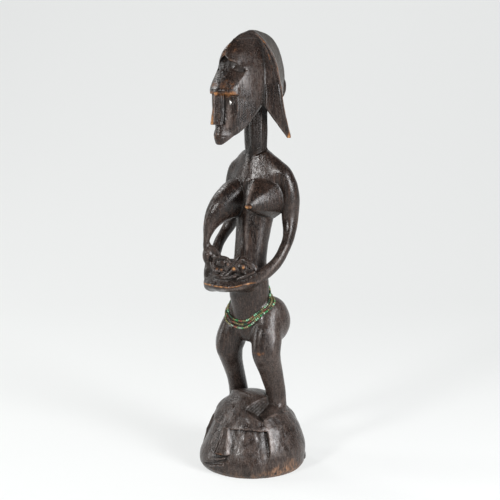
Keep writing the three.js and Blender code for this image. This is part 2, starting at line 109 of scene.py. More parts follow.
def smooth_table(rows, z):               # monotone-ish cubic look-up of a table of rows [z, ...]
    R = np.array(rows, float); zs = R[:, 0]; out = []
    m = np.zeros_like(R)
    d = np.diff(R, axis=0); dz = d[:, :1]; sl = d / dz
    m[1:-1] = np.where(sl[:-1] * sl[1:] > 0, 2 * sl[:-1] * sl[1:] / (sl[:-1] + sl[1:] + 1e-9), 0)
    m[0] = sl[0]; m[-1] = sl[-1]
    i = np.clip(np.searchsorted(zs, z) - 1, 0, len(zs) - 2)
    hgt = zs[i + 1] - zs[i]; t = np.clip((z - zs[i]) / hgt, 0, 1)
    h00 = 2 * t ** 3 - 3 * t ** 2 + 1; h10 = t ** 3 - 2 * t ** 2 + t; h01 = -2 * t ** 3 + 3 * t ** 2; h11 = t ** 3 - t ** 2
    for c in range(1, R.shape[1]):
        out.append((h00 * R[i, c] + h10 * hgt * m[i, c] + h01 * R[i + 1, c] + h11 * hgt * m[i + 1, c]).astype(F4))
    return out

def sweep(F, st, k, side=(1, 0, 0), n=2.0, N=7, facet=0.0, nf=6, spin=0.0, cut=False, flat_ends=False):
    """elliptic section carried along a smooth path; st rows: x y z a b"""
    S = catmull(st, N); C = S[:, :3]; A = np.maximum(S[:, 3], 0.25); B = np.maximum(S[:, 4], 0.25)
    T = np.gradient(C, axis=0); T /= np.linalg.norm(T, axis=1)[:, None]
    sd = np.array(side, float)
    if sd.ndim == 1: sd = np.tile(sd, (len(C), 1))
    U = sd - (sd * T).sum(1)[:, None] * T; U /= np.linalg.norm(U, axis=1)[:, None]
    V = np.cross(T, U)
    if spin:
        c, s_ = math.cos(spin), math.sin(spin); U, V = U * c + V * s_, V * c - U * s_
    m = 6.0 + k
    R = np.maximum(A, B); R = np.maximum(R, np.maximum(np.roll(R, 1), np.roll(R, -1)))
    lo, hi = box_of(np.concatenate([C - R[:, None], C + R[:, None]]), m + 2 * F.h)
    slW, x, y, z = F.window(lo, hi)
    tmp = np.full((x.size, y.size, z.size), 40.0, F4)
    base = [s.start for s in slW]
    for i in range(len(C) - 1):
        r = max(A[i], B[i], A[i + 1], B[i + 1]) + m
        l2 = np.minimum(C[i], C[i + 1]) - r; h2 = np.maximum(C[i], C[i + 1]) + r
        sl, x, y, z = F.window(l2, h2)
        loc = tuple(slice(max(a.start - b, 0), max(a.stop - b, 0)) for a, b in zip(sl, base))
        d = C[i + 1] - C[i]; L2 = float(d @ d)
        if L2 < 1e-9: continue
        px, py, pz = x - F4(C[i][0]), y - F4(C[i][1]), z - F4(C[i][2])
        t = (px * F4(d[0]) + py * F4(d[1]) + pz * F4(d[2])) / F4(L2)
        tc = np.clip(t, 0, 1)
        w = (t - tc) * F4(math.sqrt(L2))
        qx, qy, qz = px - tc * F4(d[0]), py - tc * F4(d[1]), pz - tc * F4(d[2])
        def lin(a0, a1): return F4(a0) + tc * F4(a1 - a0)
        a_ = lin(A[i], A[i + 1]); b_ = lin(B[i], B[i + 1])
        u = qx * lin(U[i][0], U[i + 1][0]) + qy * lin(U[i][1], U[i + 1][1]) + qz * lin(U[i][2], U[i + 1][2])
        v = qx * lin(V[i][0], V[i + 1][0]) + qy * lin(V[i][1], V[i + 1][1]) + qz * lin(V[i][2], V[i + 1][2])
        e = np.minimum(a_, b_)
        un, vn = u / a_, v / b_
        if n != 2.0:
            k0 = (np.abs(un) ** n + np.abs(vn) ** n + 1e-6) ** F4(1 / n)
        else:
            k0 = np.sqrt(un * un + vn * vn + 1e-6)
        if facet > 0:
            ang = np.arctan2(vn, un); q = F4(2 * math.pi / nf)
            fa = (ang + q / 2) % q - q / 2
            rr = np.sqrt(un * un + vn * vn + 1e-6)
            k0 = k0 * F4(1 - facet) + F4(facet) * rr * np.cos(fa) * F4(1.0 / math.cos(math.pi / nf) * 0.5 + 0.5)
        if flat_ends:
            val = np.maximum((k0 - 1) * e, np.abs(w) - 0.2)
        else:
            kk = np.sqrt(k0 * k0 + (w / e) ** 2) if True else k0
            val = (kk - 1) * e
        # gradient correction for flat sections
        g = np.sqrt((un / a_) ** 2 + (vn / b_) ** 2 + 1e-6) / np.sqrt(un * un + vn * vn + 1e-6)
        val = val / np.maximum(g * e, 0.25)
        tmp[loc] = np.minimum(tmp[loc], val.astype(F4))
    if cut: F.D[slW] = smax(F.D[slW], -tmp, k)
    else: F.D[slW] = smin(F.D[slW], tmp, k)

def ell(c, r, rot=None):
    c = np.array(c, float); r = np.array(r, float)
    def fn(x, y, z):
        p = [x - F4(c[0]), y - F4(c[1]), z - F4(c[2])]
        if rot is not None:
            p = [p[0] * F4(rot[j][0]) + p[1] * F4(rot[j][1]) + p[2] * F4(rot[j][2]) for j in range(3)]
        k0 = np.sqrt((p[0] / F4(r[0])) ** 2 + (p[1] / F4(r[1])) ** 2 + (p[2] / F4(r[2])) ** 2 + 1e-9)
        k1 = np.sqrt((p[0] / F4(r[0] ** 2)) ** 2 + (p[1] / F4(r[1] ** 2)) ** 2 + (p[2] / F4(r[2] ** 2)) ** 2 + 1e-9)
        return k0 * (k0 - 1) / k1
    return fn

def blob(F, c, r, k, rot=None, cut=False):
    m = max(r) + 8 + k; c = np.array(c, float)
    (F.cut if cut else F.add)(ell(c, r, rot), c - m, c + m, k)

def poly_sdf(px, py, P):                 # 2D signed distance to a closed polygon, arrays px, py
    d = np.full(np.broadcast(px, py).shape, 1e9, F4); inside = np.zeros(d.shape, bool)
    n = len(P)
    for i in range(n):
        ax, ay = P[i]; bx, by = P[(i + 1) % n]
        ex, ey = bx - ax, by - ay; L = ex * ex + ey * ey
        if L < 1e-12: continue
        wx, wy = px - F4(ax), py - F4(ay)
        t = np.clip((wx * F4(ex) + wy * F4(ey)) / F4(L), 0, 1)
        dx, dy = wx - t * F4(ex), wy - t * F4(ey)
        d = np.minimum(d, dx * dx + dy * dy)
        c1 = (py >= ay) != (py >= by)
        if abs(by - ay) > 1e-9:
            xi = F4(ax) + (py - F4(ay)) * F4(ex / ey)
            inside ^= c1 & (px < xi)
    return np.where(inside, -1, 1) * np.sqrt(d)

def sections(F, rows, z0, z1, N=3, corner=None):
    """level sections; rows: z then half-outline points from front midline to back midline.
    returns slices, grid coordinates and the 2D distance to the outline on each level of that slab (callers normalise it
    by its gradient)"""
    zs = np.array([r[0] for r in rows]); P = np.array([[list(p) for p in r[1:]] for r in rows], float)   # stations x pts x 2
    xm = P[:, :, 0].max() + 10; y0 = P[:, :, 1].min() - 10; y1 = P[:, :, 1].max() + 10
    sl, x, y, z = F.window([-xm, y0, z0], [xm, y1, z1])
    out = np.empty((x.size, y.size, z.size), F4)
    flat = np.concatenate([zs[:, None], P.reshape(len(zs), -1)], 1)
    for kz in range(z.size):
        zz = float(z[0, 0, kz])
        vals = np.array([float(v) for v in smooth_table(flat, np.array(zz))])
        h = vals.reshape(-1, 2)
        ring = np.concatenate([h, np.stack([-h[-2:0:-1, 0], h[-2:0:-1, 1]], 1)])
        ring = catmull_corner(ring, N, corner)
        out[:, :, kz] = poly_sdf(x[:, :, 0], y[:, :, 0], ring)
    return sl, (x, y, z), out

def catmull_corner(P, N, corner):
    """closed Catmull-Rom through P, but with straight, sharp joints at the listed indices"""
    n = len(P)
    if N <= 1: return P
    cs = set(corner or [])
    cs |= {(n - c) % n for c in cs}
    out = []
    for i in range(n):
        p1, p2 = P[i], P[(i + 1) % n]
        p0 = P[i - 1] if i not in cs else 2 * p1 - p2
        p3 = P[(i + 2) % n] if (i + 1) % n not in cs else 2 * p2 - p1
        for t in np.arange(N) / N:
            out.append(0.5 * (2 * p1 + (p2 - p0) * t + (2 * p0 - 5 * p1 + 4 * p2 - p3) * t * t + (3 * p1 - p0 - 3 * p2 + p3) * t ** 3))
    return np.array(out)

def unit_grad(D, h):
    g = np.gradient(D, h)
    return D / np.clip(np.sqrt(g[0] ** 2 + g[1] ** 2 + g[2] ** 2), 0.35, 3.0).astype(F4)

# ------------------------------------------------------------------ surface nets
def surface_nets(D, lo, h):
    nx, ny, nz = D.shape
    ins = D < 0
    cid = lambda i, j, k: (i * ny + j) * nz + k
    total = nx * ny * nz
    cells = []; pts = []
    edges = []
    for ax in range(3):
        a = [slice(None)] * 3; b = [slice(None)] * 3
        a[ax] = slice(0, -1); b[ax] = slice(1, None)
        s0, s1 = ins[tuple(a)], ins[tuple(b)]
        idx = np.argwhere(s0 != s1)
        # keep edges with all four cells
        o = [c for c in range(3) if c != ax]
        ok = (idx[:, o[0]] > 0) & (idx[:, o[1]] > 0) & (idx[:, o[0]] < D.shape[o[0]] - 1) & (idx[:, o[1]] < D.shape[o[1]] - 1)
        idx = idx[ok]
        nxt = idx.copy(); nxt[:, ax] += 1
        d0 = D[idx[:, 0], idx[:, 1], idx[:, 2]]; d1 = D[nxt[:, 0], nxt[:, 1], nxt[:, 2]]
        t = d0 / (d0 - d1)
        p = idx.astype(np.float64); p[:, ax] += t
        inside0 = d0 < 0
        quad = []
        for da, db in ((-1, -1), (0, -1), (0, 0), (-1, 0)):
            c = idx.copy(); c[:, o[0]] += da; c[:, o[1]] += db
            quad.append(cid(c[:, 0], c[:, 1], c[:, 2]))
            cells.append(quad[-1]); pts.append(p)
        q = np.stack(quad, 1)
        flip = inside0 if ax != 1 else ~inside0
        q = np.where(flip[:, None], q, q[:, ::-1])
        edges.append(q)
    cells = np.concatenate(cells); pts = np.concatenate(pts)
    uniq, inv = np.unique(cells, return_inverse=True)
    cnt = np.bincount(inv).astype(float)
    V = np.stack([np.bincount(inv, pts[:, c]) / cnt for c in range(3)], 1)
    Q = np.searchsorted(uniq, np.concatenate(edges))
    V = V * h + lo
    return V, Q

def sample(D, lo, h, P):
    g = (P - lo) / h
    i = np.clip(np.floor(g).astype(int), 0, np.array(D.shape) - 2); t = g - i
    out = 0
    for a in (0, 1):
        for b in (0, 1):
            for c in (0, 1):
                w = (t[:, 0] if a else 1 - t[:, 0]) * (t[:, 1] if b else 1 - t[:, 1]) * (t[:, 2] if c else 1 - t[:, 2])
                out = out + w * D[i[:, 0] + a, i[:, 1] + b, i[:, 2] + c]
    return out

# ------------------------------------------------------------------ the carving
DOME = [[0, 62.8], [4.6, 66.3], [6.4, 67.0], [16, 67.5], [28, 66.4], [42, 62.6], [54, 57.6], [62, 54], [71, 48], [76, 44.4], [82, 38.8], [88, 32], [94, 22.5], [97.8, 10], [99, 0]]
FACE_TURN = -1.2

def dome_table(profile):
    P = catmull(profile, 4)                                   # z, r
    P[:, 1] = np.maximum(P[:, 1], 0)
    poly = [(-60.0, 0.0)] + [(r, z) for z, r in P] + [(-60.0, P[-1][0])]
    rr = np.arange(0, 100, 0.5, dtype=F4); zz = np.arange(-8, 112, 0.5, dtype=F4)
    return poly_sdf(rr[:, None], zz[None, :], poly)

def look(T, rho, z):                                          # bilinear look-up, rho and z broadcast together
    rho = rho + 0 * z; z = z + 0 * rho
    g = rho * 2; i = np.clip(g.astype(np.int32), 0, T.shape[0] - 2); t = g - i
    w = (z + 8) * 2; j = np.clip(w.astype(np.int32), 0, T.shape[1] - 2); u = w - j
    return (T[i, j] * (1 - t) + T[i + 1, j] * t) * (1 - u) + (T[i, j + 1] * (1 - t) + T[i + 1, j + 1] * t) * u

def planes(P, k=0.0):                                         # convex body from planes (normal, point)
    def fn(x, y, z):
        d = None
        for n, p in P:
            n = np.array(n, float); n /= np.linalg.norm(n)
            v = (x - F4(p[0])) * F4(n[0]) + (y - F4(p[1])) * F4(n[1]) + (z - F4(p[2])) * F4(n[2])
            d = v if d is None else (smax(d, v, k) if k else np.maximum(d, v))
        return d
    return fn

def tri_plane(a, b, c, inside):
    a, b, c = map(lambda v: np.array(v, float), (a, b, c))
    n = np.cross(b - a, c - a)
    if n @ (np.array(inside) - a) > 0: n = -n
    return (n, a)

def lobed(x, y):                                              # slightly uneven plan of the base
    th = np.arctan2(x, -y)                                    # 0 in front, + toward the figure's left
    rho = np.sqrt(x * x + y * y + 1e-6) * (1 + 0.006 * np.sin(3 * th + 0.6) + 0.005 * np.sin(5 * th + 2))
    az = th / F4(D2R)
    rho = rho * (1 - 0.034 * np.exp(-((az - 124) / 32) ** 2))
    return az, rho.astype(F4)

def base(F):
    T0 = dome_table(DOME)
    sl, x, y, z = F.window([-76, -76, -3], [76, 76, 106])
    off = 2.2 * sstep(8, 34, z) * sstep(92, 70, z)
    x = x - 0.766 * off; y = y - 0.643 * off
    az, rho = lobed(x, y)
    D = look(T0, rho, z)
    # carved face under the brow
    brow = np.interp(az, [-60, -45, -26, -13, -6, 4, 11, 24, 38, 47, 57, 62], [67, 66, 62.8, 62.2, 61.9, 60.4, 60.1, 61, 60.6, 59.9, 59, 59]).astype(F4)
    aside = np.abs(az - FACE_TURN)
    sector = rho * np.sin(np.clip((aside - F4(60.6)) * F4(D2R), -1.2, 1.2)) + 2.4 * sstep(36, 14, z)
    inset = sstep(12, 46, z) * (5.0 + 2.6 * sstep(20, 50, az)) * sstep(86, 62, np.abs(az - 4))
    face = look(T0, rho + inset, z)
    cutter = np.maximum(smax(-face, sector, 3.4), z - brow)
    D = smax(D, -cutter, 0.6)
    # flatter panels at the back
    pan2 = np.maximum((140 - np.abs(az)) * F4(D2R) * rho, z - 69)
    D = D - 0.9 * sstep(0.6, -0.9, pan2) * sstep(2, 22, z)
    F.D[sl] = np.minimum(F.D[sl], D.astype(F4))
    # crown between the feet, with a raised front edge
    sweep(F, [(-26, 4, 85, 8, 7), (-11, -8, 91.8, 10, 7.6), (8, -8, 91.8, 10, 7.4), (20, 2, 87.5, 7, 6)], 4, side=(0, 1, 0), N=6)
    sweep(F, [(-27, -6, 93, 2, 1.6), (-16, -12.5, 97.0, 2.6, 1.5), (0, -15, 98.2, 2.6, 1.4), (10, -14.5, 96.8, 2.2, 1.4), (16, -11, 94.6, 1.6, 1.2)], 2.0, side=(0, 1, 0), N=6)
    blob(F, (-28.5, -12, 72.5), (14.5, 15, 10.5), 5)
    # shelves cut into the shoulders of the base, where the feet stand
    NEAR = [(13, -60), (17.2, -34), (20.6, -24), (24.6, -11), (26.4, 0), (25.5, 14), (21, 26), (14, 36), (14, 62), (62, 62), (62, -60)]
    sl, x, y, z = F.window([8, -62, 55], [70, 62, 106])
    reg = poly_sdf(x[:, :, 0], y[:, :, 0], NEAR)[:, :, None]
    az, rho = lobed(x, y)
    fl = np.interp(az, [0, 28, 41, 50, 58.5, 61.5, 75, 92, 117, 140, 180], [86, 82.2, 76.4, 72.3, 68.8, 71.6, 74.8, 75.6, 73, 73, 75]).astype(F4)
    fl = fl + 0.5 * np.sin(az * 0.11) + 0.10 * np.maximum(44 - rho, 0)
    F.D[sl] = smax(F.D[sl], -np.maximum(reg - 0.10 * (z - 80), fl - z).astype(F4), 0.5)
    FAR = [(-53.0, -8), (-51.5, 6), (-49, 20), (-43, 31), (-34, 38), (-22, 38), (-14, 26), (-13.5, 8), (-22, -2), (-38, -9)]
    sl, x, y, z = F.window([-58, -42, 55], [0, 44, 106])
    reg = poly_sdf(x[:, :, 0], y[:, :, 0], FAR)[:, :, None]
    az, rho = lobed(x, y)
    d = look(T0, rho, z) + 6.0 * sstep(0.5, -8, reg) + F4(0.5)
    F.D[sl] = smax(F.D[sl], -np.maximum(-d, reg), 0.9)
    # nose of the carved face: a long front facet with a bevel on each side
    ins = (1.5, -50, 45)
    tl, tr, bl, br = (-1.2, -54.8, 62), (6.0, -54.4, 61.6), (-6.8, -67.6, 28.6), (12.2, -67.2, 28.8)
    F.add(planes([tri_plane(tl, tr, br, ins), tri_plane(tr, br, (17.2, -57.6, 31), ins), tri_plane(tl, bl, (-11.4, -60.6, 30), ins), tri_plane(bl, br, (0, -46, 31), ins), ((0, 0, 1), (0, 0, 62.4))]), [-22, -76, 24], [26, -40, 66], 0.5)
    sweep(F, [(-0.6, -56.0, 59) + (0.4, 0.5), (-3.6, -65.4, 34) + (0.9, 0.8), (-4.4, -67.4, 29.6) + (0.8, 0.7)], 0.3, N=6, cut=True)
    # mouth: a raised upper lip, a slanting cut and a lower lip
    sweep(F, [(-11, -64.6, 19.6, 1.8, 1.6), (0, -66.8, 22.2, 2.1, 1.7), (10, -65.8, 25.2, 1.6, 1.4)], 1.6, side=(0, 1, 0), N=5)
    sweep(F, [(-14, -65.2, 10.0, 1.5, 1.3), (-4, -67.6, 12.6, 2.0, 1.7), (8, -66.8, 15.6, 1.5, 1.4)], 1.4, side=(0, 1, 0), N=5)
    sweep(F, [(-27, -60.6, 9.6, 0.7, 0.6), (-17, -64.8, 12.0, 1.4, 0.8), (-8, -67.2, 15.0, 1.8, 0.9), (2, -68.2, 18.2, 1.8, 1.0), (10, -66.6, 20.8, 1.2, 0.8)], 1.4, side=(0, 1, 0), N=5, cut=True)
    sweep(F, [(-12, -66.2, 8.0, 0.9, 0.6), (0, -68.4, 9.8, 1.1, 0.7), (9, -67.4, 11.8, 0.8, 0.6)], 1.6, side=(0, 1, 0), N=5, cut=True)
    # rear lappet tips
    for k in (1, -1):
        sweep(F, [(k * 44.5, 35, 38, 2.0, 4), (k * 49.5, 41, 24, 3.6, 5.4), (k * 51.2, 43.4, 12, 4.0, 5.6), (k * 51.6, 44, 7.5, 3.4, 5)], 1.0, side=(0.77, 0.64, 0), N=5, n=3)

def legs(F):
    for k in (1, -1):
        f = 1 if k < 0 else 0
        dx = [3.0, 3.2, 3.6, 4.0, 4.2, 4.2, 3.0, 2.0, 1.0, 0.6, 0]
        db = [1.6, 1.6, 1.7, 1.8, 1.8, 1.6, 1.4, 1.0, 0.6, 0, 0]
        st = [(30.5, 15, 72, 13.4, 12.6), (30.5, 15, 84, 12.2, 11.2), (30.4, 13.4, 96, 12.6, 10.6), (30.3, 10.4, 108, 13.3, 10.4),
              (30.1, 5.8, 121, 14.4, 11.0), (30, 1, 134, 15.4, 12.6), (29.9, -4, 146, 17.0, 14.8), (29.9, -6.4, 155, 18.2, 16.8), (29.0, -5.2, 164, 19, 18.6), (26.8, -2, 175, 19.6, 19.2), (22.0, 3, 194, 17, 18)]
        st = [(k * (r[0] + f * dx[i]), r[1] - f * 0.6, r[2], r[3], r[4] + f * db[i]) for i, r in enumerate(st)]
        sweep(F, st, 3, N=4, n=2.2, side=(k * 0.766, 0.643, 0))
        # front plane of thigh to the knee
        sweep(F, [(k * 28.5, -12, 183, 8, 8), (k * (29.2 + f), -17.5, 168, 7.5, 7), (k * (29.8 + 2 * f), -21.4, 157.5, 6.0, 4.6), (k * (30.0 + 3 * f), -18.2, 149, 6, 5)], 6, N=4)
        # foot spreading forward over its shelf
        sweep(F, [(k * (30.5 + 3 * f), 13, 77, 12.0, 10), (k * (33.2 + 2 * f), 2, 75.2, 10.6, 7.2), (k * (37.4 + f), -8.5, 72.8, 8.0, 5.4), (k * 41.0, -16.5, 69.8, 5.0, 3.6)], 2.6, N=5, n=2.3)
        blob(F, (k * 20.8, 14.6, 190), (22.3, 28.2, 28.5), 5)
        blob(F, (k * 18.5, 12.5, 206), (20, 20.5, 18), 7)
    blob(F, (0, -5.5, 183), (17, 15, 18), 9)

TORSO = [(0, 2, 184, 24, 19), (0, 0, 200, 24.5, 22), (0, -2.5, 212, 24.5, 21.5), (0, -4.6, 232, 26.6, 22.8), (0, -4.5, 252, 25, 21), (0, -3, 270, 22.2, 18.2), (0, -0.8, 286, 22, 18), (0, 1.5, 300, 22.6, 18.6),
         (0, 6.5, 325, 25, 20), (0, 10.5, 348, 32, 20.5), (0, 12.5, 365, 38, 20), (0, 13.5, 378, 40, 19)]

def body(F):
    sweep(F, TORSO, 4, N=4, n=2.15)
    # flattened front band of the belly, and the soft ridge down the middle of the trunk
    sweep(F, [(5, -18.5, 262, 7, 4.5), (4, -16.6, 285, 6.5, 4), (3, -13.5, 305, 6, 4), (1.5, -9.5, 330, 6, 4.5), (0, -6.5, 352, 6.5, 6), (0, -6.5, 372, 9, 8)], 5, N=4)
    # shoulders and chest plane, with a crisp lower edge above her left breast
    sl, (x, y, z), d = sections(F, CHEST, 362, 418, N=3)
    d = unit_grad(d, F.h)
    lowz = 375.0 - 0.42 * np.maximum(x - 24, 0) - 1.6 * sstep(12, 2, np.abs(x)) - 9 * sstep(-2, -14, x)
    d = smax(d, (lowz - z) * 0.85, 0.7)
    d = smax(d, z - (404.5 + 0.42 * (y + 6)), 1.5)
    F.D[sl] = smin(F.D[sl], d.astype(F4), 2.4)
    for k in (1, -1):
        st = [(k * 4, 12, 392, 10, 9), (k * 13, 12.6, 391.6, 11, 10), (k * 22, 13.4, 390.6, 11.2, 10), (k * 31, 14.6, 387.6, 11.2, 10.8), (k * 38.6, 16.5, 380.8, 11, 11.2), (k * 45.0, 19, 367, 10.4, 11.5), (k * 46.4, 21, 352, 10.6, 11.8), (k * 45.8, 21.6, 338, 10.4, 11.6), (k * 46.4, 20.2, 325, 9.6, 10.6),
              (k * 49.4, 15.5, 311, 7.7, 8.8), (k * 52.2, 7.9, 299.5, 6.4, 7.6), (k * 53.2, -1.2, 289, 6.2, 7.2), (k * 52.0, -8.8, 279, 6.2, 7.4), (k * 48.6, -16.2, 270.6, 6.4, 7.8), (k * 41.8, -26, 261.5, 6.8, 8.2), (k * 32, -36, 255, 6.6, 8.2), (k * 22, -44, 251.5, 5.4, 6.4)]
        sweep(F, st, 4.5, side=(1, 0, 0), N=4, n=2.2)
    # neck, set into a tilted V
    sweep(F, [(0, 9.4, 392, 13.6, 13.4), (0, 9, 402, 13.8, 13.6), (0, 8.7, 412, 13.9, 13.9), (0, 8.3, 424, 14.4, 14.3), (0, 8.3, 436, 14.8, 14.6), (0, 8.5, 450, 14.5, 14.4), (0, 8.5, 478, 14.3, 14.3)], 0.8, N=4, n=2.15)
    sweep(F, [(-14.4, 8.5, 414.4, 0.8, 0.8), (-11.2, -0.6, 411.4, 0.8, 0.8), (-4, -5.2, 407.0, 0.8, 0.8), (4.6, -5.4, 404.9, 0.8, 0.8), (9.8, -2.2, 406.4, 0.8, 0.8), (13.4, 3.4, 409.8, 0.8, 0.8), (14.6, 10.6, 413.6, 0.8, 0.8)], 0.5, N=5, cut=True)

CHEST = [
    [364, [0, -10.4], [10, -9.4], [23, -3.6], [34, 4.6], [42, 14], [34, 27], [0, 33]],
    [374, [0, -12.6], [10, -11.4], [24, -5.0], [36, 4.4], [43.4, 15], [36, 27], [0, 33.4]],
    [382, [0, -11.2], [11, -9.2], [24, -2.8], [35.6, 6.2], [42.8, 16], [35, 26.4], [0, 32.6]],
    [390, [0, -9.0], [11, -6.6], [22.4, -0.6], [32.4, 7.8], [38.0, 15.6], [31.6, 25], [0, 30.8]],
    [396, [0, -7.2], [10, -4.8], [20.4, 0.4], [29.6, 8], [34.4, 14.4], [28.0, 23.2], [0, 28.4]],
    [401, [0, -6.2], [9.2, -4.0], [18.0, 0.4], [27.0, 6.6], [31.8, 12.4], [24.6, 21.4], [0, 26.4]],
    [406, [0, -5.4], [7.4, -3.8], [14.4, -0.4], [21.8, 5.0], [25.4, 10.8], [19.4, 19.4], [0, 24.6]],
    [412, [0, -5.0], [6.4, -3.6], [11.0, -0.6], [14.6, 4.4], [15.8, 9.6], [12.6, 16.8], [0, 22.6]],
]
for _r in CHEST:                      # the breastbone is rounded, not a crease
    _r.insert(2, [0.42 * _r[2][0], _r[1][1] + 0.16 * (_r[2][1] - _r[1][1])])
    _r[1] = [0, _r[1][1] + 0.5]

def breasts(F):
    # her right: long, sickle-like, reaching down to the child
    st = [(-18, 6, 355, 19, 22), (-19.4, -6, 351.5, 19, 23.4), (-21.8, -16, 346.5, 18, 22), (-25, -26, 340, 15.8, 19), (-28.4, -34.6, 331.5, 12.4, 15.2), (-31, -41, 321.5, 8.8, 11.2), (-32.4, -45.6, 311, 5.8, 7.6), (-32.8, -48.4, 302, 4.0, 5.0), (-33, -50.2, 294, 3.2, 3.7), (-33, -50.6, 289, 3, 3.2)]
    sweep(F, st, 2.0, N=5, n=2.15)
    # her left: a blunt cone with worn facets
    tip = np.array([26.4, -42.6, 345.0])
    root = [(4.5, -9.6, 350), (2.2, -12.0, 373), (12.6, -10.2, 378.5), (27, -1.0, 377.0), (37.5, 6.0, 370.5), (43.6, 11, 358), (44, 10.6, 346), (39, 6, 336.0), (27, -3.0, 329.5), (12.5, -8.2, 332.0)]
    ins = np.array([24, 4, 353])
    pl = [tri_plane(tip + (np.array(root[i]) - ins) * 0.05, root[i], root[(i + 1) % len(root)], ins) for i in range(len(root))]
    cone = planes(pl, 0.7)
    el = ell((24, 5, 353.6), (22.0, 41, 24.0))
    nub = ell((27.0, -38.6, 345.6), (5.4, 3.2, 2.5))
    def fn(x, y, z):
        a = cone(x, y, z); b = el(x, y, z)
        d = a * 0.74 + b * 0.26
        d = smax(d, -(y + 40.2), 1.6)
        # the flat inner side, and the undercut below the nipple
        d = smax(d, y - 14, 1)
        return smin(d, nub(x, y, z), 2.6)
    F.add(fn, [-4, -50, 315], [56, 20, 392], 0.7)

def tray(F):
    sl, x, y, z = F.window([-54, -76, 222], [50, 6, 290])
    cx, cy, A, B = -4.0, -33.0, 39.2, 32.2
    qx, qy = (x - cx) / A, (y - cy) / B
    q = np.sqrt(qx * qx + qy * qy + 1e-6) + 0 * z
    left = sstep(-14, -34, x)
    zr = 246.6 - 1.2 * left + 5.4 * sstep(14, 38, x) + 0.25 * np.sin(x * 0.5)
    win = np.maximum(1 - q, -0.2) * 33.0
    topz = zr + np.minimum(1.25 * win, 14.0)
    botz = zr - 1.6 - 2.0 * left - (7.6 + 4.6 * left + 2.4 * sstep(4, -12, x)) * np.sqrt(np.clip(1 - q ** 2, 0, 1))
    wall = (q - 1) * 32.0
    d = smax((z - topz) * 0.62, (botz - z) * 0.8, 0.35)
    d = smax(d, wall, 0.9)
    F.D[sl] = smin(F.D[sl], d.astype(F4), 1.0)
    # rounded far end under the child's head
    sweep(F, [(-31.5, -43.5, 266, 7.0, 7.4), (-31.8, -43.6, 257, 8.2, 8.2), (-30.6, -43.2, 249, 8.4, 8.4), (-25, -43, 243.2, 8, 7), (-14, -41, 240.4, 9, 6.2), (-3, -38, 240, 9, 5)], 3.0, side=(0, 1, 0), N=4)
    sweep(F, [(0, -10, 238, 24, 13), (0, -22, 240.5, 23, 9), (0, -34, 243, 20, 6), (0, -44, 245, 14, 4)], 4, side=(1, 0, 0), N=4)
    # worn crack in the rim
    sweep(F, [(-11.5, -68, 250, 0.45, 0.8), (-11.2, -62, 248, 0.4, 1.6), (-10.8, -58, 244.6, 0.3, 0.6)], 0.2, N=4, cut=True)

